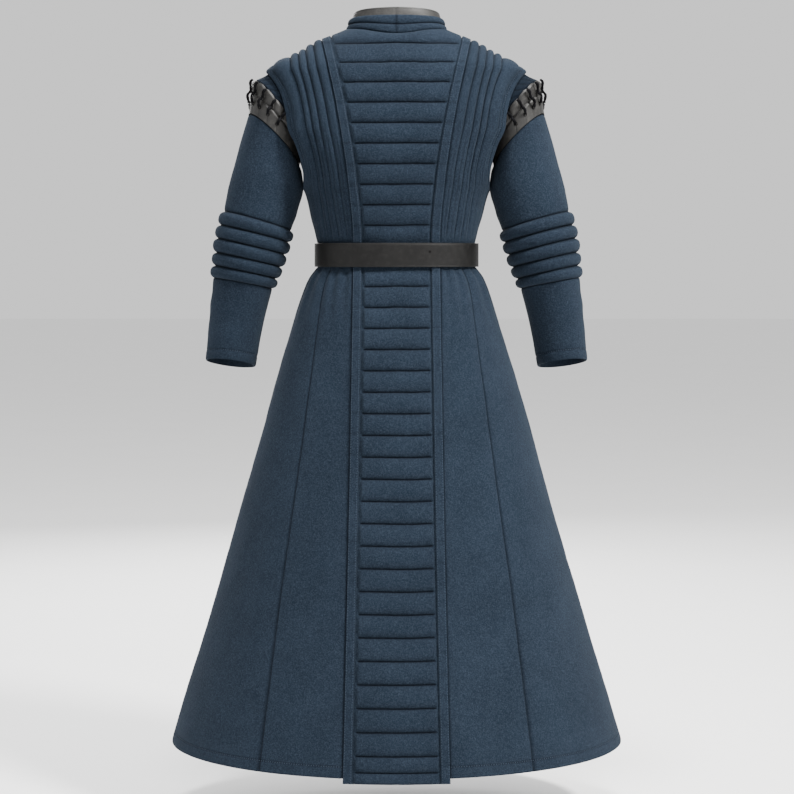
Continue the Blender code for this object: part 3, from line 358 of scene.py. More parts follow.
def beltFade(height):
    # Quilting is pressed flat where the belt lies on it.
    return smoothStep((np.abs(height) - 0.022) / 0.022)


# Meshes: grids of points become closed shells or closed tubes with their own attributes.

def quads(rows, columns, wrap=False):
    # Corner numbers of each cell of a grid, row by row.
    r, c = np.meshgrid(np.arange(rows - 1), np.arange(columns if wrap else columns - 1),
                       indexing="ij")
    after = (c + 1) % columns
    cells = np.stack([r * columns + c, r * columns + after,
                      (r + 1) * columns + after, (r + 1) * columns + c], axis=-1)
    return cells.reshape(-1, 4)


def makeObject(name, points, faces, material, nodes=(), sharp=60.0, values=None):
    mesh = bpy.data.meshes.new(name)
    mesh.from_pydata(points.tolist(), [], faces)
    for attribute, numbers in (values or {}).items():
        layer = mesh.attributes.new(attribute, "FLOAT", "POINT")
        layer.data.foreach_set("value", np.ascontiguousarray(numbers, dtype=np.float32))
    mesh.shade_smooth()
    mesh.set_sharp_from_angle(angle=math.radians(sharp))
    mesh.materials.append(material)
    piece = bpy.data.objects.new(name, mesh)
    bpy.context.scene.collection.objects.link(piece)
    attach(piece, "root")
    if nodes:
        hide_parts(*nodes)
    return piece


def lowered(points):
    # The tables count heights from the waist; the frame's origin is at the shoulders.
    return points + np.array([0.0, 0.0, waistHeight])


def gridArea(grid, wrap=False):
    # Sum of the two triangles of each cell.
    if wrap:
        grid = np.concatenate([grid, grid[:, :1]], axis=1)
    a, b, c, d = grid[:-1, :-1], grid[:-1, 1:], grid[1:, 1:], grid[1:, :-1]
    first = np.linalg.norm(np.cross(b - a, c - a), axis=-1)
    second = np.linalg.norm(np.cross(c - a, d - a), axis=-1)
    return float((first + second).sum() / 2.0)


def declareSheet(grid, wrap=False):
    # The flat cut's longest row, longest column and the area between them, worked out and not kept.
    closed = np.concatenate([grid, grid[:, :1]], axis=1) if wrap else grid
    width = float(np.linalg.norm(np.diff(closed, axis=1), axis=-1).sum(axis=1).max())
    length = float(np.linalg.norm(np.diff(closed, axis=0), axis=-1).sum(axis=0).max())
    area = min(gridArea(closed), width * length)


def gridNormals(grid, wrap=False):
    # Cross product of the differences along the columns and rows.
    if wrap:
        along = np.roll(grid, -1, axis=1) - np.roll(grid, 1, axis=1)
    else:
        along = np.gradient(grid, axis=1)
    return unit(np.cross(along, np.gradient(grid, axis=0)))


def thinned(count, step):
    # Every step-th number up to the last one, which is always kept.
    return sorted(set(range(0, count, step)) | {count - 1})


def shell(name, outer, inner, step, groove, material, nodes):
    # A wall: the fine outer grid, a thinned inner grid and fans of triangles between their rims.
    rows, columns = outer.shape[:2]
    innerRows, innerColumns = thinned(rows, step), thinned(columns, step)
    coarse = inner[np.ix_(innerRows, innerColumns)]
    points = lowered(np.concatenate([outer.reshape(-1, 3), coarse.reshape(-1, 3)]))
    start = rows * columns
    width = len(innerColumns)
    inside = {(r, c): start + i * width + j
              for i, r in enumerate(innerRows) if r in (0, rows - 1)
              for j, c in enumerate(innerColumns)}
    inside.update({(r, c): start + i * width + j
                   for j, c in enumerate(innerColumns) if c in (0, columns - 1)
                   for i, r in enumerate(innerRows)})
    faces = quads(rows, columns).tolist()
    faces += (quads(len(innerRows), width)[:, ::-1] + start).tolist()
    rims = (
        ([(0, c) for c in range(columns)], False),
        ([(rows - 1, c) for c in range(columns)], True),
        ([(r, 0) for r in range(rows)], True),
        ([(r, columns - 1) for r in range(rows)], False),
    )
    for rim, turned in rims:
        current = inside[rim[0]]
        for here, after in zip(rim, rim[1:]):
            a, b = here[0] * columns + here[1], after[0] * columns + after[1]
            triangles = [(b, a, current)]
            if after in inside:
                triangles.append((inside[after], b, current))
                current = inside[after]
            faces += [t[::-1] if turned else t for t in triangles]
    # every inner face gets a groove value of 0.25: painted shade on the inside of the cloth
    values = np.concatenate([groove.reshape(-1), np.full(coarse.shape[0] * coarse.shape[1], 0.25)])
    return makeObject(name, points, faces, material, nodes, values={"groove": values})


def ringShell(name, outer, inner, groove, material, nodes, sharp=60.0):
    # A closed band: outer rings down, inner rings back up, joined at both rims.
    rows, columns = outer.shape[:2]
    rings = np.concatenate([outer, inner[::-1], outer[:1]])
    cells = quads(len(rings), columns, wrap=True)
    count = (len(rings) - 1) * columns
    # every inner face gets a groove value of 0.25: painted shade on the inside of the cloth
    values = np.concatenate([groove.reshape(-1),
                             np.full(count - rows * columns, 0.25)])
    points = lowered(rings[:-1].reshape(-1, 3))
    return makeObject(name, points, (cells % count).tolist(), material, nodes, sharp,
                      {"groove": values})


def mirrored(points, side):
    return points * np.array([side, 1.0, 1.0])


# Materials: a socket can be added, multiplied and so on, which adds Math nodes.

class Socket:
    def __init__(self, graph, socket):
        self.graph = graph
        self.socket = socket

    def math(self, operation, first, second):
        return self.graph.add("ShaderNodeMath", {"operation": operation},
                              {0: first, 1: second})[0]

    def __add__(self, other):
        return self.math("ADD", self, other)

    def __radd__(self, other):
        return self.math("ADD", other, self)

    def __sub__(self, other):
        return self.math("SUBTRACT", self, other)

    def __rsub__(self, other):
        return self.math("SUBTRACT", other, self)

    def __mul__(self, other):
        return self.math("MULTIPLY", self, other)

    def __rmul__(self, other):
        return self.math("MULTIPLY", other, self)

    def __pow__(self, other):
        return self.math("POWER", self, other)


class Graph:
    # One material's nodes; add() makes a node from its type, settings and socket values.
    def __init__(self, name, constants):
        self.material = bpy.data.materials.new(name)
        self.material.use_nodes = True
        self.nodes = self.material.node_tree.nodes
        self.links = self.material.node_tree.links
        self.shader = self.nodes["Principled BSDF"]
        for key, value in constants.items():
            self.shader.inputs[key].default_value = value

    def put(self, socket, value):
        if isinstance(value, Socket):
            self.links.new(value.socket, socket)
        else:
            socket.default_value = value

    def add(self, kind, settings, values):
        node = self.nodes.new(kind)
        for key, value in settings.items():
            setattr(node, key, value)
        for key, value in values.items():
            self.put(node.inputs[key], value)
        return [Socket(self, output) for output in node.outputs]

    def feed(self, name, value):
        self.put(self.shader.inputs[name], value)

    def objectPlace(self):
        return self.add("ShaderNodeTexCoord", {}, {})[3]

    def noise(self, place, scale, detail=3.0, roughness=0.55):
        return self.add("ShaderNodeTexNoise", {}, {
            "Vector": place, "Scale": scale, "Detail": detail, "Roughness": roughness})[0]

    def voronoi(self, place, scale):
        return self.add("ShaderNodeTexVoronoi", {"feature": "F1"},
                        {"Vector": place, "Scale": scale})[0]

    def ramp(self, value, low, high):
        # Linear from 0 at low to 1 at high, held at both ends.
        return self.add("ShaderNodeMapRange", {"clamp": True},
                        {"Value": value, "From Min": low, "From Max": high})[0]

    def attribute(self, name):
        return self.add("ShaderNodeAttribute", {"attribute_name": name}, {})[2]

    def mixColour(self, factor, first, second, mode="MIX"):
        node = self.nodes.new("ShaderNodeMix")
        node.data_type = "RGBA"
        node.blend_type = mode
        self.put(node.inputs[0], factor)
        self.put(node.inputs[6], first)
        self.put(node.inputs[7], second)
        return Socket(self, node.outputs[2])

    def bump(self, height, strength, distance):
        self.feed("Normal", self.add("ShaderNodeBump", {}, {
            "Height": height, "Strength": strength, "Distance": distance})[0])


def feltMaterial(name, deep, middle, light, groove):
    # Milled wool: clouded blue, short matted fibres, with painted shade in the sewn lines: the groove
    # attribute darkens the colour towards the groove colour.
    graph = Graph(name, {"Roughness": 0.95, "Sheen Weight": 0.035, "Sheen Roughness": 0.5,
                         "Sheen Tint": (0.55, 0.68, 0.85, 1.0), "Specular IOR Level": 0.04})
    place = graph.objectPlace()
    cloud = graph.noise(place, 12.0, 6.0, 0.66)
    nap = graph.noise(place, 260.0, 4.0, 0.7)
    fuzz = graph.noise(place, 520.0, 4.0, 0.75)
    fibre = graph.noise(place, 1100.0, 3.0, 0.65)
    colour = graph.mixColour(graph.ramp(cloud, 0.34, 0.66), deep, middle)
    colour = graph.mixColour(graph.ramp(nap, 0.46, 0.74) * 0.34, colour, light)
    colour = graph.mixColour(graph.ramp(fuzz, 0.46, 0.74) * 0.60, colour, light)
    speck = graph.ramp(nap * 0.5 + fuzz * 0.5, 0.36, 0.52)
    colour = graph.mixColour(0.60 * (1.0 - speck), colour, deep)
    # painted shade: where the groove attribute is high, the colour goes to the groove colour
    line = graph.ramp(graph.attribute("groove"), 0.0, 1.0)
    colour = graph.mixColour(0.92 * line, colour, groove)
    graph.feed("Base Color", colour)
    graph.bump(nap * 0.5 + fuzz * 0.7 + fibre * 0.4, 0.75, 0.0016)
    return graph.material


def leatherMaterial(name, deep, middle, worn, constants, grainScale, grainDepth):
    # Grain cells and fine pores; worn places are lighter and a little rougher; the groove attribute
    # paints shade into the creases, seams and grooves.
    graph = Graph(name, constants)
    place = graph.objectPlace()
    cells = graph.voronoi(place, grainScale)
    pores = graph.noise(place, grainScale * 2.2, 3.0, 0.6)
    cloud = graph.noise(place, 22.0, 5.0, 0.62)
    scuff = graph.ramp(graph.noise(place, 95.0, 6.0, 0.7), 0.50, 0.72)
    colour = graph.mixColour(graph.ramp(cloud, 0.30, 0.70), deep, middle)
    colour = graph.mixColour(scuff * 0.45, colour, worn)
    # painted shade: where the groove attribute is high, the colour goes to a quarter of the deep
    # colour
    line = graph.ramp(graph.attribute("groove"), 0.0, 1.0)
    colour = graph.mixColour(line * 0.85, colour, (deep[0] * 0.25, deep[1] * 0.25,
                                                   deep[2] * 0.25, 1.0))
    graph.feed("Base Color", colour)
    graph.feed("Roughness", 0.40 + cloud * 0.22 + scuff * 0.12)
    graph.bump(cells * 0.7 + pores * 0.5, 0.45, grainDepth)
    return graph.material


def cordMaterial():
    # Waxed black cord: fine plaited texture over its twist.
    graph = Graph("waxed_cord", {"Specular IOR Level": 0.03})
    place = graph.objectPlace()
    fibre = graph.noise(place, 1500.0, 3.0, 0.6)
    tone = graph.noise(place, 60.0, 4.0, 0.6)
    colour = graph.mixColour(graph.ramp(tone, 0.35, 0.7), (0.002, 0.002, 0.0025, 1.0),
                             (0.006, 0.006, 0.007, 1.0))
    graph.feed("Base Color", colour)
    graph.feed("Roughness", 0.65 + 0.2 * fibre)
    graph.bump(fibre, 0.6, 0.0005)
    return graph.material


def threadMaterial():
    # Sewing thread a little darker than the felt, twisted from fine plies.
    graph = Graph("sewing_thread", {"Roughness": 0.7, "Specular IOR Level": 0.3})
    place = graph.objectPlace()
    ply = graph.noise(place, 2400.0, 2.0, 0.5)
    colour = graph.mixColour(ply, (0.010, 0.017, 0.030, 1.0), (0.026, 0.041, 0.066, 1.0))
    graph.feed("Base Color", colour)
    graph.bump(ply, 0.5, 0.0003)
    return graph.material


def steelMaterial(name, dull, bright):
    # Cast steel with a dull skin, rubbed bright in places, with fine scratches.
    graph = Graph(name, {"Metallic": 1.0})
    place = graph.objectPlace()
    rub = graph.ramp(graph.noise(place, 120.0, 5.0, 0.65), 0.35, 0.7)
    scratch = graph.noise(graph.add("ShaderNodeMapping", {}, {
        "Vector": place, "Scale": (60.0, 900.0, 900.0)})[0], 4.0, 3.0, 0.6)
    graph.feed("Base Color", graph.mixColour(rub, dull, bright))
    graph.feed("Roughness", 0.50 - rub * 0.18 + scratch * 0.12)
    graph.bump(scratch, 0.2, 0.0003)
    return graph.material


# the last colour is the painted shade of the sewn lines, seams and hollows
felt = feltMaterial("blue_felt_wool", (0.0060, 0.0098, 0.0162, 1.0),
                    (0.0094, 0.0147, 0.0235, 1.0), (0.0290, 0.0395, 0.0560, 1.0),
                    (0.0010, 0.0017, 0.0033, 1.0))
# a darker copy of the felt: painted shade for the cloth in the shadow under the leather caps
shadedUnderFelt = feltMaterial("under_cap_wool_painted_shade", (0.0022, 0.0038, 0.0068, 1.0),
                         (0.0036, 0.0060, 0.0104, 1.0), (0.0082, 0.0125, 0.0195, 1.0),
                         (0.0005, 0.0009, 0.0018, 1.0))
trimLeather = leatherMaterial("grey_trim_leather", (0.0075, 0.0072, 0.0068, 1.0),
                              (0.0175, 0.0168, 0.0158, 1.0), (0.048, 0.046, 0.043, 1.0),
                              {"Specular IOR Level": 0.34}, 620.0, 0.0006)
beltLeather = leatherMaterial("black_belt_leather", (0.0036, 0.0035, 0.0034, 1.0),
                              (0.0062, 0.0060, 0.0058, 1.0), (0.0150, 0.0145, 0.0138, 1.0),
                              {"Specular IOR Level": 0.16}, 1100.0, 0.00025)
cordBlack = cordMaterial()
thread = threadMaterial()
steel = steelMaterial("worn_steel", (0.22, 0.215, 0.205, 1.0), (0.50, 0.49, 0.47, 1.0))
# blackened steel for the eyelets, also used for the painted shade inside the belt's holes
darkSteelAndHoleShade = steelMaterial("blackened_eyelet_and_hole_shade", (0.004, 0.004, 0.0042, 1.0),
                          (0.022, 0.0215, 0.0205, 1.0))
print("materials ready")


# Thread: stitches laid along a line of the surface.

def alongLine(points, normals, spacing):
    # Places at equal steps along a line, with its direction and the surface's normal there.
    steps = np.linalg.norm(np.diff(points, axis=0), axis=1)
    travelled = np.concatenate([[0.0], np.cumsum(steps)])
    count = max(int(travelled[-1] / spacing), 2)
    where = (np.arange(count) + 0.5) * travelled[-1] / count

    def read(values):
        return np.stack([np.interp(where, travelled, values[:, axis]) for axis in range(3)], -1)

    place = read(points)
    return place, unit(np.gradient(place, axis=0)), unit(read(normals))


stitch = {"spacing": 0.0048, "length": 0.0031, "radius": 0.00045, "sink": 0.0002}


def addStitches(name, lines, material):
    # Each stitch is a spindle: two tips and two rings of four points, in the line's own axes.
    ring = np.array([(0.0, 1.0), (1.0, 0.0), (0.0, -1.0), (-1.0, 0.0)])
    form = [(-1.0, 0.0, 0.0)]
    for along in (-0.55, 0.55):
        form += [(along, wide, tall) for wide, tall in ring]
    form.append((1.0, 0.0, 0.0))
    form = np.array(form) * (stitch["length"] / 2.0, stitch["radius"], stitch["radius"])
    faces = [(0, 1 + k, 1 + (k + 1) % 4) for k in range(4)]
    faces += [(1 + k, 5 + k, 5 + (k + 1) % 4, 1 + (k + 1) % 4) for k in range(4)]
    faces += [(5 + k, 9, 5 + (k + 1) % 4) for k in range(4)]
    triangles = np.array([f for f in faces if len(f) == 3])
    squares = np.array([f for f in faces if len(f) == 4])
    points, made = [], 0
    triangleSets, squareSets = [], []
    for line, normals in lines:
        place, along, up = alongLine(line, normals, stitch["spacing"])
        across = unit(np.cross(up, along))
        centre = place + up * stitch["sink"]
        all3 = (centre[:, None] + form[None, :, 0:1] * along[:, None]
                + form[None, :, 1:2] * across[:, None] + form[None, :, 2:3] * up[:, None])
        starts = made + np.arange(len(centre))[:, None, None] * len(form)
        triangleSets.append((triangles[None] + starts).reshape(-1, 3))
        squareSets.append((squares[None] + starts).reshape(-1, 4))
        points.append(all3.reshape(-1, 3))
        made += len(centre) * len(form)
    allFaces = np.concatenate(triangleSets).tolist() + np.concatenate(squareSets).tolist()
    return makeObject(name, lowered(np.concatenate(points)), allFaces, material)


# Body walls: the panels of the bodice and skirt.

drape = {"broad": 0.0011, "broadSize": (0.11, 0.11, 0.17), "soft": 0.00055, "softSize": 0.034,
         "fine": 0.00022, "fineSize": 0.011}


def drapeRelief(points):
    # Three sizes of soft unevenness, the same on both sides of a seam.
    return (drape["broad"] * softNoise(points, drape["broadSize"], 3)
            + drape["soft"] * softNoise(points, drape["softSize"], 5)
            + drape["fine"] * softNoise(points, drape["fineSize"], 7))


stitchLines = {"left": [], "right": [], "middle": []}


def bodyWall(node, angle, height, relief, groove, lift=0.0, step=5, even=1.0):
    angle, height = np.broadcast_arrays(angle, height)
    base = bodyPoint(angle, height)
    normal = bodyNormal(angle, height)
    lift = np.broadcast_to(lift, angle.shape)[..., None]
    raised = np.broadcast_to(relief, angle.shape) + even * drapeRelief(base)
    outer = base + normal * (lift + raised[..., None])
    inner = base + normal * (lift - clothWall)
    if np.sum(np.cross(outer[0, -1] - outer[0, 0], outer[-1, 0] - outer[0, 0])
              * normal[len(normal) // 2, normal.shape[1] // 2]) < 0:
        outer, inner, normal = outer[:, ::-1], inner[:, ::-1], normal[:, ::-1]
        groove = groove[:, ::-1]
    piece = shell(node + "_cloth", outer, inner, step, groove, felt, [node])
    declareSheet(outer)
    return piece, outer, normal


def bodiceRows(topSteps, firstSteps, steps):
    # Part of the way to the first sewn line, then the height, and the part of the channel.
    rows = [(t, firstLine, t) for t in topSteps]
    for channel in range(bodiceChannels):
        for t in firstSteps if channel < fineChannels else steps:
            rows.append((1.0, firstLine - (channel + t) * bodicePitch, t))
    last = firstLine - bodiceChannels * bodicePitch
    for t in (0.0, 0.5):
        rows.append((1.0, last + (waistEdge - last) * t, 0.0))
    rows.append((1.0, waistEdge, 0.0))
    return np.array(rows).T


ridgePower = 2.3             # a point's depth near the shoulder line goes with its fall^(1/2.3)


def bodiceColumn(topAngle, topHeight, xOfHeight, rows, inFront=False):
    # From a point of the top edge straight to the first sewn line, as seen from the back, then
    # down along xOfHeight. On the shoulder line the first rows lie closer: fall = part^power.
    part, level, _ = rows
    power = 1.0 + (ridgePower - 1.0) * abs(math.sin(topAngle)) ** 8
    fall = part ** power
    height = np.where(part < 1.0, topHeight + (firstLine - topHeight) * fall, level)
    topX = float(bodyPoint(topAngle, topHeight)[0])
    x = np.where(part < 1.0, topX + (xOfHeight(firstLine) - topX) * fall, xOfHeight(level))
    angle = angleAtX(x, height, inFront)
    angle[0] = topAngle
    return angle, height


channelSteps = (0.0, 0.03, 0.07, 0.13, 0.22, 0.34, 0.5, 0.66, 0.78, 0.87, 0.93, 0.97)
quilt = {"pinch": 0.0011, "pinchWidth": 0.0022, "pucker": 0.00075, "puckerReach": 0.008,
         "puckerSize": (0.0085, 0.06, 0.022), "wobble": 0.0007, "columns": 97}


def quiltRelief(t, pitch, edgeRise, height, points, open=False):
    # Bowed channels with a pinched sewn line and puckers that run out from it; where open is
    # true the channel starts at a free edge, so it has no sewn line above it.
    distance = np.where(open, 1.0 - t, np.minimum(t, 1.0 - t)) * pitch
    fade = edgeRise * beltFade(height)
    pucker = softNoise(points, quilt["puckerSize"], 11) * np.exp(-distance / quilt["puckerReach"])
    relief = (channelRise * bow(t) - quilt["pinch"] * bell(distance, quilt["pinchWidth"])
              + quilt["pucker"] * pucker) * fade
    # the second value is painted shade: a dark sewn line and a wider, fainter band of shade beside it
    return relief, (0.85 * bell(distance, 0.0014) + 0.20 * bell(distance, 0.0055)) * fade


def panelEdgeRise(share, height):
    # 0 under the raised band, 1 a few millimetres inside it.
    inset = (1.0 - np.abs(share)) * seamX(height)
    return smoothStep((inset - bandWidth / 2.0 - panelFlat) / (panelMargin - panelFlat))


def makeBackCentre():
    rows = bodiceRows(np.linspace(0.0, 1.0, 12, endpoint=False), channelSteps, channelSteps)
    shares = np.linspace(-1.0, 1.0, quilt["columns"])
    corner = float(0.66 * centrePanel.at("halfWidth", firstLine) / (seamX(firstLine) - gap / 2.0))
    angles, heights = [], []
    for share in shares:
        part = abs(float(share))
        topAngle, topHeight = topEdge(part, corner, 0.0)
        angle, height = bodiceColumn(topAngle, topHeight,
                                     lambda z, part=part: part * (seamX(z) - seamGap / 2.0),
                                     rows)
        angles.append(math.copysign(1.0, share) * angle)
        heights.append(height)
    angle, height = np.array(angles).T, np.array(heights).T
    t = rows[2][:, None] * np.ones_like(angle)
    edgeRise = panelEdgeRise(shares[None, :], np.maximum(height, 0.0))
    points = bodyPoint(angle, height)
    wobble = quilt["wobble"] * softNoise(points * (1.0, 0.0, 1.0), (0.03, 1.0, 0.5), 13) * edgeRise
    inner = (rows[0] >= 1.0)[:, None] * (height > 0.03)
    height = height + wobble * inner
    relief, groove = quiltRelief(t, bodicePitch, edgeRise, height, points,
                                 (rows[0] < 1.0)[:, None])
    bodyWall("back_centre", angle, height, relief, groove)


def skirtLine(k):
    return skirtFirst - skirtPitch * k - skirtGrowth * k * k


def makeSkirtCentre():
    heights, parts = [-waistEdge, skirtFirst * 0.35, skirtFirst * 0.7], [0.0, 0.0, 0.0]
    for k in range(skirtLines - 1):
        for t in channelSteps:
            heights.append(skirtLine(k) * (1 - t) + skirtLine(k + 1) * t)
            parts.append(t)
    last = skirtLine(skirtLines - 1)
    for t in channelSteps:
        heights.append(last * (1 - t) + hemLine * t)
        parts.append(t)
    heights += [hemLine, hemLine - 0.0015, hemLine - 0.004, hemLine - 0.009,
                hemLine - 0.014, panelHem + 0.0022, panelHem + 0.0008, panelHem]
    parts += [0.0, 0.06, 0.15, 0.3, 0.3, 0.2, 0.1, 0.02]
    height, t = np.array(heights)[:, None], np.array(parts)[:, None]
    shares = np.linspace(-1.0, 1.0, quilt["columns"])[None, :]
    level = height + 0.0 * shares
    x = shares * (seamX(level) - seamGap / 2.0)
    points = bodyPoint(angleAtX(x, level), level)
    edgeRise = panelEdgeRise(shares, level)
    inner = (level < skirtFirst - 0.03) & (level > hemLine + 0.03)
    wobble = quilt["wobble"] * softNoise(points * (1.0, 0.0, 1.0), (0.03, 1.0, 0.5), 17)
    moved = level + wobble * edgeRise * inner
    relief, groove = quiltRelief(t + 0.0 * shares, skirtPitch, edgeRise, level, points)
    angle = angleAtX(x, level)
    _, outer, normal = bodyWall("skirt_back_centre", angle, moved, relief, groove)
    return outer, normal


bandForm = {"columns": 9, "edgeDrop": 0.0010, "crease": 0.00035, "sag": 0.00045,
            "stitchInset": 0.15}


def makeBand(side, node, rows, skirt):
    # A flat strip with rounded edges and faint cross creases where the sewn lines run under it.
    columns = np.linspace(-1.0, 1.0, bandForm["columns"])
    angles, heights = [], []
    for column in columns:
        offset = float(column) * bandWidth / 2.0
        if skirt:
            height = rows
            angle = angleAtX(seamX(height) + offset, height)
        else:
            topHeight = float(ridgeHeight(seamX(seamShoulder) + offset))
            angle, height = bodiceColumn(float(shoulderAngle(topHeight)), topHeight,
                                         lambda z, offset=offset: seamX(z) + offset, rows)
        angles.append(side * angle)
        heights.append(height)
    angle, height = np.array(angles).T, np.array(heights).T
    edge = np.abs(columns)[None, :]
    if skirt:
        k = (skirtFirst - height) / skirtPitch
    else:
        k = (firstLine - height) / bodicePitch
    nearLine = np.abs(k - np.round(k)) * skirtPitch
    points = bodyPoint(angle, height)
    relief = (0.0005 - bandForm["edgeDrop"] * smoothStep((edge - 0.72) / 0.28)
              - bandForm["crease"] * bell(nearLine, 0.0022)
              + bandForm["sag"] * softNoise(points, (0.02, 0.02, 0.012), 19))
    # painted shade at the cross creases and along the band's edges
    groove = 0.28 * bell(nearLine, 0.0014) + 0.20 * smoothStep((edge - 0.90) / 0.1)
    _, outer, normal = bodyWall(node, angle, height, relief, groove,
                                clothWall + bandClear, 4)
    word = "left" if side > 0 else "right"
    for column in (1, bandForm["columns"] - 2):
        stitchLines[word].append((outer[:, column], normal[:, column]))


pleatForm = {"shoulderRise": 0.0054, "waistRise": 0.0016, "capRise": 0.0009, "columns": 133,
             "capWidth": 0.0145,
             "tuck": 0.0009, "tuckWidth": 0.0016, "wrinkle": 0.0007, "capInset": 0.0115,
             "edgeRound": 0.0016}


def sideEdges(rows, inFront):
    # The armhole's edge and then the side seam, at each row; the coarse rows of the solid set
    # how the row's level and the turn round the armhole go together.
    part, level, _ = rows
    coarse = bodiceRows((0.0, 0.25, 0.5, 0.75), (0.0, 0.3, 0.7), (0.0,) if inFront else (0.0, 0.5))
    coarseLevel = np.delete(coarse[1][4:], -2)
    armpit = int(np.argmin(np.abs(coarseLevel - 0.16)))
    turnLevel = coarseLevel[:armpit + 1]
    turns = np.linspace(armhole["turn"], math.pi, armpit + 1)
    some = [0, armpit // 3, 2 * armpit // 3, armpit]
    turn = np.where(part < 1.0, armhole["turn"] * part,
                    smoothValue(np.maximum(level, turnLevel[-1]) * -1.0, -turnLevel[some],
                                turns[some]))
    holeAngle, holeHeight = armholeEdge(turn, inFront)
    lowest = float(armholeEdge(np.array(math.pi), inFront)[1])
    seamHeight = np.interp(-level, -coarseLevel[armpit:],
                           np.linspace(lowest, waistEdge, len(coarseLevel) - armpit))
    below = (part >= 1.0) & (level < turnLevel[-1] - 1e-9)
    outHeight = np.where(below, seamHeight, holeHeight)
    outAngle = np.where(below, shoulderAngle(outHeight, inFront), holeAngle)
    return outAngle, outHeight, below


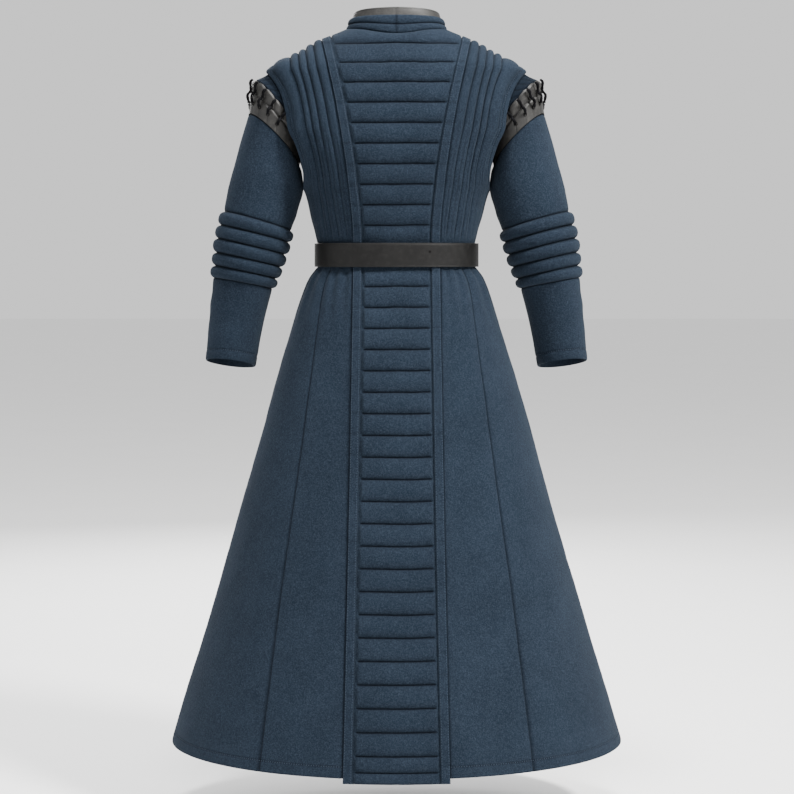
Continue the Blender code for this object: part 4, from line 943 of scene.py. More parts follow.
def makeSidePanel(side, node, inFront):
    steps = (0.0, 0.1, 0.2, 0.3, 0.4, 0.5, 0.6, 0.7, 0.8, 0.9)
    tops = 12
    rows = bodiceRows(np.linspace(0.0, 1.0, tops, endpoint=False), steps, steps)
    part, level, _ = rows
    outAngle, outHeight, below = sideEdges(rows, inFront)

    def column(offset):
        topHeight = float(ridgeHeight(seamX(seamShoulder) + offset))
        return bodiceColumn(float(shoulderAngle(topHeight, inFront)), topHeight,
                            lambda z: seamX(z) + offset, rows, inFront)

    seam = [column(offset) for offset in (seamGap / 2.0, 0.0018, 0.0042)]
    edgeAngle, edgeLevel = column(bandWidth / 2.0 + 0.001)
    pleat = np.linspace(0.0, 6.0, pleatForm["columns"])
    index = pleats.places
    shoulder = np.interp(pleat, index, pleats.columns["shoulder"])
    waist = np.interp(pleat, index, pleats.columns["waist"])
    fall = (edgeLevel[0] - edgeLevel) / (edgeLevel[0] - edgeLevel[-1])
    across = shoulder[None, :] + (waist - shoulder)[None, :] * smoothStep(fall)[:, None]
    angle = edgeAngle[:, None] + (outAngle - edgeAngle)[:, None] * across
    height = edgeLevel[:, None] + (outHeight - edgeLevel)[:, None] * across
    shoulderX = seamX(seamShoulder) + bandWidth / 2.0 + 0.001
    topHeights = ridgeHeight(shoulderX + (body.at("halfWidth", 0.364) - shoulderX) * across[0])
    topPart = part[:tops, None]
    height[:tops] = topHeights + (height[tops] - topHeights) * topPart ** ridgePower
    height[:tops, -1] = outHeight[:tops]
    angle[0] = shoulderAngle(height[0], inFront)
    # Seen from the back, each line between the pleats is a mean of a straight one and of one
    # that follows the band and the armhole's stitched edge.
    last = int(np.argmin(np.abs(pleat - 5.0)))
    first = slice(0, last + 1)
    ends = bodyPoint(angle[[0, -1]], height[[0, -1]])[..., 0]
    outX = bodyPoint(outAngle, outHeight)[:, 0]
    level5 = height[:, first]
    down = (height[0, first] - level5) / (height[0, first] - height[-1, first])
    inset = ends[1, -1] - ends[1, last]
    inset = inset + (pleatForm["capWidth"] - inset) * smoothStep(level5 / 0.16)
    holeX = np.interp(-level5, -outHeight, outX) - inset
    bandX = seamX(level5) + bandWidth / 2.0 + 0.001
    share = (ends - ends[:, :1]) / (ends[:, last:last + 1] - ends[:, :1])
    share = share[0, first] + (share[1, first] - share[0, first]) * smoothStep(down)
    straight = ends[0, first] + (ends[1, first] - ends[0, first]) * down
    follow = bandX + (holeX - bandX) * share
    weight = 0.6 * np.sin(math.pi * pleat[first] / 5.0) ** 0.7
    angle[:, first] = angleAtX(follow + (straight - follow) * weight, level5, inFront)
    angle[0] = shoulderAngle(height[0], inFront)
    beyond = (pleat[last:] - pleat[last]) / (pleat[-1] - pleat[last])
    angle[:, last:] = angle[:, last:last + 1] + (outAngle[:, None] - angle[:, last:last + 1]) * beyond
    height[:, last:] = (height[:, last:last + 1]
                        + (outHeight[:, None] - height[:, last:last + 1]) * beyond)

    points = bodyPoint(angle, height)
    spread = np.linalg.norm(np.diff(points, axis=1), axis=-1)
    travelled = np.concatenate([np.zeros((len(part), 1)), np.cumsum(spread, axis=1)], axis=1)
    fromEdge = travelled[:, -1:] - travelled
    t = pleat - np.floor(pleat)
    inPleats = (pleat < 5.0)[None, :]
    ridge = pleatForm["shoulderRise"] + ((pleatForm["waistRise"] - pleatForm["shoulderRise"])
                                         * smoothStep(fall / 0.75))
    round3 = 1.0 - np.abs(2.0 * t - 1.0) ** 2.2
    pleatWidth = np.gradient(travelled, axis=1) / (pleat[1] - pleat[0])
    grooveAway = np.minimum(t, 1.0 - t)[None, :] * pleatWidth
    middleAway = np.abs(t - 0.5)[None, :] * pleatWidth
    quarterAway = np.minimum(np.abs(t - 0.25), np.abs(t - 0.78))[None, :] * pleatWidth
    tuckFade = smoothStep((fall[:, None] - 0.30) / 0.22) * (1.0 - 0.45 * fall[:, None])
    wide = (pleat >= 4.0)[None, :]
    tucks = bell(middleAway, pleatForm["tuckWidth"]) + bell(quarterAway, 0.0013) * wide
    wrinkle = softNoise(np.stack([travelled * 1.0, 0.0 * travelled,
                                  height], axis=-1), (0.0075, 1.0, 0.09), 23 + int(inFront))
    capPlace = bell(fromEdge - pleatForm["capInset"], 0.0013) * ~below[:, None]
    rounding = smoothStep((pleatForm["edgeRound"] * 2.0 - fromEdge) / (pleatForm["edgeRound"] * 2.0))
    relief = (ridge[:, None] * round3[None, :] * inPleats
              - 0.0010 * bell(grooveAway, 0.0018) * inPleats
              - pleatForm["tuck"] * tucks * tuckFade * inPleats
              + pleatForm["wrinkle"] * wrinkle * smoothStep(fall / 0.35)[:, None] * inPleats
              + pleatForm["capRise"] * ~inPleats
              - 0.0010 * capPlace - 0.0009 * rounding) * beltFade(height)
    # painted shade: depth and uneven set how dark the pleat grooves and tucks are; the groove below
    # also darkens the cap's stitched line and the rounded side edge
    depth = (0.72 - 0.34 * smoothStep(fall / 0.6))[:, None]
    uneven = 0.75 + 0.25 * softNoise(points, (0.03, 0.03, 0.05), 29)
    groove = (depth * uneven * bell(grooveAway, 0.0017) * inPleats
              + 0.55 * uneven * tucks * tuckFade * inPleats + 0.75 * capPlace
              + 0.5 * rounding * below[:, None]) * beltFade(height)
    angle = np.column_stack([*(line[0] for line in seam), angle])
    height = np.column_stack([*(line[1] for line in seam), height])
    flat = 0.0 * seam[0][1]
    relief = np.column_stack([flat - 0.0006, flat - 0.0002, flat, relief])
    # painted shade along the seam beside the band
    groove = np.clip(np.column_stack([flat + 0.75, flat + 0.15, flat, groove]), 0.0, 1.0)
    _, outer, normal = bodyWall(node, side * angle, height, relief, groove)
    if outer.shape[1] and np.abs(outer[0, 0, 0]) > np.abs(outer[0, -1, 0]):
        outer, normal = outer[:, ::-1], normal[:, ::-1]
    edgeColumn = np.argmin(np.abs(fromEdge - pleatForm["capInset"]), axis=1) + len(seam)
    order = np.arange(len(part))[~below]
    word = "left" if side > 0 else "right"
    stitchLines[word].append((outer[order, edgeColumn[order]], normal[order, edgeColumn[order]]))


def overlapAt(height):
    return front["overlap"] * smoothStep((front["neck"] - 0.015 - height) / 0.05)


def frontRaise(x, height):
    # The right front steps out over the left one beside the centre line.
    start = smoothStep((front["neck"] - 0.002 - height) / 0.011)
    return front["raise"] * start * smoothStep((front["stepEnd"] - x) / 0.030)


edgeForm = {"stitchInset": 0.012, "round": 0.0016}


def makeFront(side, node):
    steps = np.linspace(0.0, 1.0, 7, endpoint=False)
    rows = bodiceRows(np.linspace(0.0, 1.0, 10, endpoint=False), steps, steps)
    part, level, _ = rows
    shares = np.linspace(0.0, 1.0, 61)
    innerEdge = lambda z: gap / 2.0 - overlapAt(z)
    first = float(innerEdge(firstLine)), float(seamX(firstLine) - gap / 2.0)
    stepPlace = (front["stepEnd"] + 0.36 * (float(seamX(firstLine)) - front["stepEnd"]) - first[0])
    corner = stepPlace / (first[1] - first[0])
    centreFirst = front["neck"] - 0.014
    angles, heights, xs = [], [], []
    for share in shares:
        across = float(share)

        def x(z, across=across):
            return innerEdge(z) + (seamX(z) - seamGap / 2.0 - innerEdge(z)) * across

        topAngle, topHeight = topEdge(across, corner, math.pi, True)
        firstHeight = centreFirst + (firstLine - centreFirst) * across
        height = level * (firstHeight / firstLine)
        height = np.where(level <= waistEdge, waistEdge, height)
        height = np.where(part < 1.0, topHeight + (firstHeight - topHeight) * part, height)
        firstAngle = float(angleAtX(x(firstHeight), firstHeight, True))
        angle = np.where(part < 1.0, topAngle + (firstAngle - topAngle) * part,
                         angleAtX(x(height), height, True))
        angles.append(side * angle)
        heights.append(height)
        xs.append(x(height))
    angle, height, x = np.array(angles).T, np.array(heights).T, np.array(xs).T
    fromEdge = x - x[:, :1]
    fromSeam = x[:, -1:] - x
    line = bell(fromEdge - edgeForm["stitchInset"], 0.0012)
    relief = (-0.0005 * line * beltFade(height) - 0.0006 * bell(fromSeam, 0.003)
              - 0.0008 * bell(fromEdge, edgeForm["round"]))
    # painted shade in the stitched line and at the seam
    groove = 0.35 * line + 0.75 * bell(fromSeam, 0.0012)
    lift = frontRaise(x, height) if side < 0 else 0.0
    bodyWall(node, angle, height, relief, groove, lift, 3)


def gatherRelief(height, across, count):
    # Soft gathers under the belt that fade down the skirt.
    start = smoothStep((-height - 0.0225) / 0.008)
    fade = start * (1.0 - smoothStep((-height - 0.045) / 0.13))
    return 0.0034 * fade * (0.5 - 0.5 * np.cos(2.0 * math.pi * across * count / 2.0))


skirtForm = {"seamDrop": 0.0010, "seamWidth": 0.0020, "hemStitch": 0.020, "hemRound": 0.002,
             "fold": 0.0032, "foldSize": (0.13, 0.13, 2.4), "rows": 190}


def skirtHeights(low):
    near = -np.array([waistEdge, 0.006, 0.012, 0.018, 0.0235, 0.028, 0.032, 0.036, 0.040])
    count = skirtForm["rows"]
    below = np.linspace(-0.045, low + 0.026, count)
    hem = low + np.array([0.0235, 0.0215, 0.0200, 0.0185, 0.0165, 0.013, 0.009, 0.005,
                          0.0022, 0.0008, 0.0])
    return np.concatenate([near, below, hem])[:, None]


def goreRelief(height, across, points, edges, low, gathersCount):
    # Gathers, long soft folds, tucked seams and a stitched, rounded hem.
    fromSeam, fromOther = edges
    seams = bell(fromSeam, skirtForm["seamWidth"]) + bell(fromOther, skirtForm["seamWidth"])
    hemAway = height - (low + skirtForm["hemStitch"])
    stitchLine = bell(hemAway, 0.0012)
    grow = smoothStep((-height - 0.06) / 0.5)
    folds = softNoise(points, skirtForm["foldSize"], 31) * grow
    ending = smoothStep((low + 0.003 - height) / 0.003)
    relief = (gatherRelief(height, across, gathersCount) + skirtForm["fold"] * folds
              - skirtForm["seamDrop"] * seams * beltFade(height)
              - 0.0008 * stitchLine - 0.0008 * ending)
    # painted shade in the seams and the hem's stitched line
    groove = 0.75 * (bell(fromSeam, 0.0009) + bell(fromOther, 0.0009)) + 0.8 * stitchLine
    return relief, np.clip(groove, 0.0, 1.0)


def makeGore(side, node, start, end, columns, gathersCount):
    height = skirtHeights(skirtHem)
    across = np.linspace(0.0, 1.0, columns)[None, :]
    angle = start(height) + (end(height) - start(height)) * across
    level = height + 0.0 * across
    points = bodyPoint(angle, level)
    width = np.linalg.norm(np.diff(points, axis=1), axis=-1).sum(axis=1, keepdims=True)
    edges = across * width, (1.0 - across) * width
    relief, groove = goreRelief(level, across, points, edges, skirtHem, gathersCount)
    if node.startswith("skirt_back"):
        # The shadow beside the raised band's outer edge.
        bandAway = points[..., 0] - seamX(level) - bandWidth / 2.0
        groove = np.clip(groove + bell(bandAway, 0.0026), 0.0, 1.0)
    _, outer, normal = bodyWall(node, side * angle, level, relief, groove)
    word = "left" if side > 0 else "right"
    hemRow = int(np.argmin(np.abs(height[:, 0] - (skirtHem + skirtForm["hemStitch"]))))
    stitchLines[word].append((outer[hemRow], normal[hemRow]))


def makeFrontGore(side, node, seam):
    height = skirtHeights(skirtHem)
    shares = np.linspace(0.0, 1.0, 73)[None, :]
    level = height + 0.0 * shares
    seamPlace = np.abs(bodyPoint(seam(height), height)[..., 0])
    innerEdge = gap / 2.0 - overlapAt(height)
    x = innerEdge + (seamPlace - innerEdge) * shares
    angle = angleAtX(x, level, True)
    angle[:, -1:] = seam(height)
    points = bodyPoint(angle, level)
    fromSeam = (1.0 - shares) * (seamPlace - innerEdge)
    fromEdge = shares * (seamPlace - innerEdge)
    farAway = np.ones_like(fromSeam)
    relief, groove = goreRelief(level, shares, points, (fromSeam, farAway), skirtHem, 0)
    line = bell(fromEdge - edgeForm["stitchInset"], 0.0012)
    relief = relief - 0.0005 * line * beltFade(level) - 0.0008 * bell(fromEdge, 0.0016)
    # painted shade in the stitched front line
    groove = np.clip(groove + 0.35 * line, 0.0, 1.0)
    lift = frontRaise(x, level) if side < 0 else 0.0
    _, outer, normal = bodyWall(node, side * angle, level, relief, groove, lift, 5)
    word = "left" if side > 0 else "right"
    hemRow = int(np.argmin(np.abs(height[:, 0] - (skirtHem + skirtForm["hemStitch"]))))
    stitchLines[word].append((outer[hemRow], normal[hemRow]))
    stitchColumn = int(np.argmin(np.abs(fromEdge[len(height) // 2] - edgeForm["stitchInset"])))
    if side > 0:
        stitchColumn = stitchColumn if outer[0, 0, 0] < outer[0, -1, 0] else -1 - stitchColumn
    else:
        stitchColumn = stitchColumn if outer[0, 0, 0] > outer[0, -1, 0] else -1 - stitchColumn
    stitchLines[word].append((outer[12:, stitchColumn], normal[12:, stitchColumn]))


def seamShift(height):
    return seamGap / (2.0 * body.at("halfWidth", height)) * 1.3


def seamAngle(height):
    return np.radians(goreSeam.at("angle", height))


def makeBodice():
    makeBackCentre()
    bandRows = bodiceRows(np.linspace(0.0, 1.0, 14, endpoint=False),
                          *(2 * [np.linspace(0.0, 1.0, 8, endpoint=False)]))
    for side, word in ((1.0, "left"), (-1.0, "right")):
        makeBand(side, "back_band_" + word, bandRows, False)
        makeSidePanel(side, "back_side_" + word, False)
        makeSidePanel(side, "front_side_" + word, True)
        makeFront(side, "front_" + word)


def makeSkirt():
    makeSkirtCentre()
    rows = np.concatenate([-np.array([waistEdge, 0.008, 0.016, 0.0235, 0.030, 0.036, 0.042]),
                           np.linspace(-0.048, panelHem + 0.003, 190),
                           [panelHem + 0.001, panelHem]])
    for side, word in ((1.0, "left"), (-1.0, "right")):
        makeBand(side, "skirt_band_" + word, rows, True)
        makeGore(side, "skirt_back_gore_" + word,
                 lambda z: angleAtX(seamX(z) + seamGap / 2.0, z),
                 lambda z: seamAngle(z) - seamShift(z), 61, 6)
        makeGore(side, "skirt_side_gore_" + word,
                 lambda z: seamAngle(z) + seamShift(z),
                 lambda z: math.pi - seamAngle(z) - seamShift(z), 89, 10)
        makeFrontGore(side, "skirt_front_gore_" + word,
                      lambda z: math.pi - seamAngle(z) + seamShift(z))


makeBodice()
print("bodice ready")
makeSkirt()
print("skirt ready")


# Collar: quilted cloth outside, leather inside and a little higher.

collarForm = {"end": math.radians(177.0), "columns": 181, "lean": 0.0105, "rise": 0.0028,
              "depthShare": 0.7, "leanHeight": 0.038}


def makeCollar(node, top, bottom, outset, thickness, rise, material, tag):
    turn = np.linspace(-collarForm["end"], collarForm["end"], collarForm["columns"])
    _, seam = neckEdge(np.abs(turn))
    low = seam + bottom
    high = collarTop.at(top, np.degrees(np.abs(turn)))
    t = np.concatenate([[0.0, 0.015], np.linspace(0.04, 0.46, 10), [0.48, 0.5, 0.52],
                        np.linspace(0.54, 0.93, 10), [0.96, 0.985, 1.0]])[:, None]
    height = low + (high - low) * t
    up = (height - seam) / collarForm["leanHeight"]
    behind = np.cos(turn) > 0
    halfWidth = neck["halfWidth"] + outset - collarForm["lean"] * up
    depth = (np.where(behind, neck["back"], neck["front"]) + outset
             - collarForm["depthShare"] * collarForm["lean"] * up)
    around = np.abs(turn) * neck["back"]
    centreSeam = bell(around, 0.0022)

    def ring(extra):
        x = (halfWidth + extra) * np.sin(turn)
        y = (depth + extra) * np.cos(turn)
        return np.stack(np.broadcast_arrays(x, y, height), axis=-1)

    plain = ring(0.0)
    uneven = 0.0005 * softNoise(plain, (0.02, 0.02, 0.012), 37)
    rounding = smoothStep((t - 0.955) / 0.045) + smoothStep((0.03 - t) / 0.03)
    if rise > 0.0:
        swell = rise * bow((2.0 * t) % 1.0) * (t < 1.0) * (1.0 - 0.45 * centreSeam)
        lineAway = np.abs(t - 0.5) * (high - low)
        # painted shade in the middle sewn line and the centre back seam
        groove = np.clip(bell(lineAway, 0.0013) + 0.6 * centreSeam, 0.0, 1.0)
    else:
        edgeLine = bell((1.0 - t) * (high - low) - 0.0035, 0.0009)
        swell = -0.0006 * centreSeam - 0.0004 * edgeLine
        # painted shade in the centre back seam and the line inside the top edge
        groove = np.clip(0.8 * centreSeam + 0.45 * edgeLine + 0.0 * swell, 0.0, 1.0)
    outer = ring(swell + uneven - 0.0006 * rounding)[:, ::-1]
    inner = ring(-thickness)[:, ::-1]
    piece = shell(node + tag, outer, inner, 3, groove[:, ::-1] + 0.0 * outer[..., 0],
                  material, [node])
    declareSheet(outer)


makeCollar("collar_cloth", "cloth", -0.0006, 0.001, clothWall, collarForm["rise"],
           felt, "_cloth")
makeCollar("collar_leather", "leather", 0.010, -0.0024, 0.0022, 0.0,
           trimLeather, "_hide")


# Sleeves, leather shoulder caps and what lies between them and the armhole.

def ringPoints(shape, count, grow=0.0):
    # Oval rings from their centre, half sizes, tilt and back lift; point 0 is the outer side.
    turn = np.linspace(0.0, 2.0 * math.pi, count, endpoint=False)
    tilt = np.radians(shape["tilt"])
    wide = (shape["halfWidth"] + grow) * np.cos(turn)
    deep = (shape["halfDepth"] + grow) * np.sin(turn)
    x = shape["x"] + wide * np.cos(tilt)
    y = shape["y"] + deep
    z = shape["z"] + wide * np.sin(tilt) + shape["backLift"] * np.sin(turn)
    return np.stack(np.broadcast_arrays(x, y, z), axis=-1)


def sleeveShape(stations):
    return {name: sleeveTable.at(name, stations) for name in bandTop}


def leatherShape(t):
    # From the top edge of the leather band (0) to the seam with the sleeve (1).
    end = sleeveShape(np.array(0.0))
    t = np.asarray(t, dtype=float)
    return {name: bandTop[name] + (float(end[name]) - bandTop[name]) * t for name in bandTop}


def facing(outer, inner, groove):
    # Rings run so that their faces look away from the middle.
    normal = gridNormals(outer, True)
    away = outer - outer.mean(axis=1, keepdims=True)
    if np.sum(normal * away) < 0:
        return outer[:, ::-1], inner[:, ::-1], groove[:, ::-1]
    return outer, inner, groove


sleeveForm = {"columns": 112, "ribRise": 0.0076, "pinch": 0.0016, "crease": 0.0016,
              "cuffStitch": 0.020, "seamTurn": math.pi, "bulge": 0.0060}


def makeSleeve(side, word):
    node = "sleeve_" + word
    upper = np.concatenate([[0.0006, 0.0016, 0.003], np.linspace(0.005, 0.160, 44)])
    ribs = []
    for start, end in zip(ribStations, ribStations[1:]):
        ribs.append(start + (end - start) * np.array(channelSteps))
    lower = np.concatenate([[ribStations[-1]], np.linspace(0.2935, 0.432, 42),
                            [0.4338, 0.435, 0.4362, 0.438, 0.442, 0.447, 0.4515, 0.454, 0.455]])
    station = np.concatenate([upper, *ribs, lower])[:, None]
    count = sleeveForm["columns"]
    turn = np.linspace(0.0, 2.0 * math.pi, count, endpoint=False)[None, :]
    index = np.clip(np.searchsorted(ribStations, station, side="right") - 1, 0, 4)
    t = np.clip((station - ribStations[index]) / (ribStations[index + 1] - ribStations[index]), 0, 1)
    inRibs = (station >= ribStations[0]) & (station <= ribStations[-1])
    away = np.minimum(t, 1.0 - t) * 0.026
    plain = ringPoints(sleeveShape(station), count)
    pucker = softNoise(plain, (0.010, 0.010, 0.03), 41) * np.exp(-away / 0.006)
    rib = (sleeveForm["ribRise"] * bow(t) - sleeveForm["pinch"] * bell(away, 0.0022)
           + 0.0006 * pucker) * inRibs
    nearRibs = np.minimum(np.abs(station - ribStations[0]), np.abs(station - ribStations[-1]))
    slant = plain[..., 2:3] * 1.0 + 0.35 * plain[..., 1:2]
    creaseNoise = softNoise(np.concatenate([plain[..., :2], slant], axis=-1), (0.07, 0.07, 0.026), 43)
    creases = sleeveForm["crease"] * creaseNoise * (~inRibs) * smoothStep(station / 0.03)
    creases = creases * (0.35 + 0.65 * np.exp(-nearRibs / 0.035)) * smoothStep(nearRibs / 0.012)
    # The inner side bulges softly towards the body below the cap.
    inward = bell(turn - sleeveForm["seamTurn"], 0.9) * smoothStep((station - 0.0015) / 0.012)
    inward = sleeveForm["bulge"] * inward * (1.0 - smoothStep((station - 0.035) / 0.075))
    seamAway = np.abs(turn - sleeveForm["seamTurn"]) * 0.06
    seam = bell(seamAway, 0.0022) * (1.0 - 0.6 * inRibs)
    cuffAway = np.abs(station - (0.455 - sleeveForm["cuffStitch"]))
    cuffLine = bell(cuffAway, 0.0014)
    cuff = smoothStep((station - 0.436) / 0.003)
    ends = smoothStep((0.004 - station) / 0.004) + smoothStep((station - 0.4525) / 0.0025)
    relief = (rib + creases + inward - 0.0010 * seam - 0.0008 * cuffLine + 0.0005 * cuff
              - 0.0009 * ends + drapeRelief(plain) * 0.8)
    # painted shade in the rib lines, the seam, the cuff's stitched line and the top edge that goes
    # under the leather cap
    groove = np.clip(0.9 * bell(away, 0.0017) * inRibs + 0.8 * bell(seamAway, 0.0014)
                     + 0.6 * cuffLine + 0.6 * smoothStep((0.003 - station) / 0.003)
                     + 0.0 * turn, 0.0, 1.0)
    outer = mirrored(ringPoints(sleeveShape(station), count, relief), side)
    inner = mirrored(ringPoints(sleeveShape(station[::3] if (len(station) - 1) % 3 == 0
                                            else np.concatenate([station[::3], station[-1:]])),
                                count, -clothWall), side)
    outer, inner, groove = facing(outer, inner, groove)
    piece = ringShell(node + "_cloth", outer, inner, groove, felt, [node])
    declareSheet(outer, True)
    normal = gridNormals(outer, True)
    row = int(np.argmin(cuffAway))
    stitchLines[word].append((np.concatenate([outer[row], outer[row, :1]]),
                              np.concatenate([normal[row], normal[row, :1]])))


capForm = {"tabs": 16, "puff": 0.0030, "crown": 0.055, "columns": 288, "crease": 0.0016,
           "firstEyelet": 16.0, "eyeletStep": 21.0, "eyeletDown": 0.68, "holeDown": 0.36}


def makeLeatherCap(side, word):
    # Puffed tabs along the top edge, a crease below them, then a plain part with fine seams.
    node = "sleeve_leather_" + word
    count = capForm["columns"]
    degrees = np.arange(count)[None, :] * 360.0 / count
    t = np.concatenate([[0.0, 0.008, 0.02, 0.04], np.linspace(0.07, 0.33, 13),
                        np.linspace(0.35, 0.47, 9), np.linspace(0.50, 0.96, 18),
                        [0.975, 0.987, 0.995]])[:, None]
    # The tab's own place, -1 to 1 across it, like the CAD's alternate points.
    tab = (degrees / (360.0 / capForm["tabs"])) % 1.0
    across = 2.0 * tab - 1.0
    dome = np.cos(across * math.pi / 2.0) ** 0.6
    upper = 1.0 - smoothStep((t - 0.02) / 0.36)
    crown = capForm["crown"] * dome * (1.0 - smoothStep(t / 0.30))
    down = t - crown
    puff = smoothStep(t / 0.10) * (1.0 - smoothStep((t - 0.27) / 0.12))
    plain = ringPoints(leatherShape(down), count)
    tabGroove = bell((1.0 - np.abs(across)) * 0.014, 0.0016) * upper
    crease = bell((t - 0.40) * 0.06, 0.0024)
    lower = smoothStep((t - 0.44) / 0.06)
    rowDegrees = capForm["firstEyelet"] + capForm["eyeletStep"] * np.arange(5)
    seamPlaces = np.concatenate([rowDegrees, 360.0 - rowDegrees])
    seamAway = np.min(np.abs(degrees[..., None] - seamPlaces), axis=-1) * math.pi / 180.0 * 0.075
    seamLine = bell(seamAway, 0.0010) * smoothStep((t - capForm["eyeletDown"] - 0.03) / 0.04)
    fine = softNoise(plain, 0.012, 47) * 0.0006 + softNoise(plain, 0.030, 53) * 0.0007
    wrinkle = softNoise(plain, (0.006, 0.006, 0.018), 59) * 0.0006 * (1.0 - lower * 0.6)
    swell = (capForm["puff"] * puff * dome - 0.0010 * tabGroove - capForm["crease"] * crease
             + 0.0010 * lower - 0.0008 * seamLine + fine + wrinkle
             - 0.0008 * smoothStep((0.02 - t) / 0.02))
    # painted shade in the tab grooves, the crease, the seams and along the lower edge beside the
    # sleeve
    groove = np.clip(0.60 * tabGroove + 0.40 * crease + 0.8 * seamLine
                     + 0.5 * smoothStep((t - 0.985) / 0.01), 0.0, 1.0) + 0.0 * degrees
    outer = ringPoints(leatherShape(down), count, swell)
    inner = ringPoints(leatherShape(down[::6]), count, -leatherWall)
    outer, inner = mirrored(outer, side), mirrored(inner, side)
    outer, inner, groove = facing(outer, inner, groove)
    piece = ringShell(node + "_hide", outer, inner, groove, trimLeather, [node])
    declareSheet(outer, True)


def armholeRing(turn, grow, depth):
    # Points round the armhole, on the body or a little inside it; turn 0 is the top.
    backAngle, backHeight = armholeEdge(np.abs(turn), False, grow)
    frontAngle, frontHeight = armholeEdge(np.abs(turn), True, grow)
    angle = np.where(turn >= 0, backAngle, frontAngle)
    height = np.where(turn >= 0, backHeight, frontHeight)
    return bodyPoint(angle, height) + bodyNormal(angle, height) * depth


underForm = {"columns": 192, "segments": 24, "swell": 0.0010}


def makeUnderCap(side, word):
    # Cloth from inside the armhole's edge to inside the leather, sewn into narrow segments.
    node = "under_cap_" + word
    count = underForm["columns"]
    turn = np.linspace(0.0, 2.0 * math.pi, count, endpoint=False)
    degrees = np.degrees(np.minimum(turn, 2.0 * math.pi - turn))
    behind = np.radians(capTurns.at("back", degrees))
    before = np.radians(capTurns.at("front", degrees))
    signed = np.where(turn > math.pi, -before, behind)
    inside = -(clothWall + 0.0035)
    inset = -(leatherWall + 0.0010)
    first = armholeRing(signed, 0.004, inside - 0.002)
    second = armholeRing(signed, -0.001, inside)
    fourth = ringPoints(leatherShape(-0.09), count, inset)
    fifth = ringPoints(leatherShape(0.20), count, inset)
    low = smoothStep((-np.cos(turn) - 0.2) / 0.6)[:, None]
    middle = 0.5 * (second + fourth)
    third = middle + low * (ringPoints(leatherShape(-0.24), count, 0.003) - middle)
    stops = np.stack([first, second, third, fourth, fifth])
    where = np.linspace(0.0, 4.0, 25)
    index = np.clip(np.floor(where).astype(int), 0, 3)
    share = (where - index)[:, None, None]
    base = stops[index] * (1.0 - share) + stops[index + 1] * share
    normal = gridNormals(base, True)
    if np.sum(normal[-1] * (base[-1] - base[-1].mean(axis=0))) < 0:
        normal = -normal
    segment = (np.arange(count) * underForm["segments"] / count) % 1.0
    edge = np.minimum(segment, 1.0 - segment) * 2.0
    showing = (smoothStep((where - 0.9) / 0.4) * (1.0 - smoothStep((where - 2.9) / 0.4)))[:, None]
    rise = underForm["swell"] * showing * (edge[None, :] ** 0.5 - 0.7)
    outer = base + normal * rise[..., None]
    inner = (base - 0.0022 * normal)[::4]
    # painted shade in the lines between the segments
    groove = 0.8 * bell(edge[None, :], 0.16) * showing
    outer, inner = mirrored(outer, side), mirrored(inner, side)
    flipped = gridNormals(outer, True)
    mean = outer[-1] - outer[-1].mean(axis=0)
    if np.sum(flipped[-1] * mean) < 0:
        outer, inner, groove = outer[:, ::-1], inner[:, ::-1], groove[:, ::-1]
    # the darker copy of the felt paints the shade under the leather cap
    piece = ringShell(node + "_cloth", outer, inner, groove, shadedUnderFelt, [node])
    declareSheet(outer, True)


laceForm = {"radius": 0.0030, "sides": 12, "points": 78, "twist": 620.0, "strand": 0.12}
lacePath = Table(
    ("down", "turn", "lift"),
    (
        (0.02, 13.0, 0.0050),
        (0.12, 10.0, 0.0080),
        (0.33, 6.0, 0.0028),
        (0.52, 2.0, 0.0080),
        (0.68, 0.0, 0.0014),
    ),
)


def sweep(path, sides, radiusOf, closed=False):
    # Rings of points round a path, turned with as little twist as possible.
    along = unit(np.gradient(path, axis=0))
    if closed:
        along = unit(np.roll(path, -1, axis=0) - np.roll(path, 1, axis=0))
    up = np.array([0.0, 0.0, 1.0]) + 0.0 * path
    flat = np.abs(along[:, 2:3]) > 0.97
    up = np.where(flat, np.array([0.0, 1.0, 0.0]), up)
    across = unit(np.cross(along, up))
    over = np.cross(across, along)
    turn = np.linspace(0.0, 2.0 * math.pi, sides, endpoint=False)
    radius = radiusOf(turn[None, :])
    return (path[:, None] + radius[..., None] * (np.cos(turn)[None, :, None] * across[:, None]
                                                 + np.sin(turn)[None, :, None] * over[:, None]))


def tubeFaces(rings, sides, closed):
    faces = quads(rings + (1 if closed else 0), sides, wrap=True) % (rings * sides)
    faces = faces.tolist()
    if not closed:
        faces.append(list(range(sides))[::-1])
        faces.append(list(range((rings - 1) * sides, rings * sides)))
    return faces


def oriented(rings, closed=False):
    # Turns the rings round if their faces would look inwards.
    middle = rings.mean(axis=1, keepdims=True)
    normal = gridNormals(rings, True)
    return rings[:, ::-1] if np.sum(normal * (rings - middle)) < 0 else rings


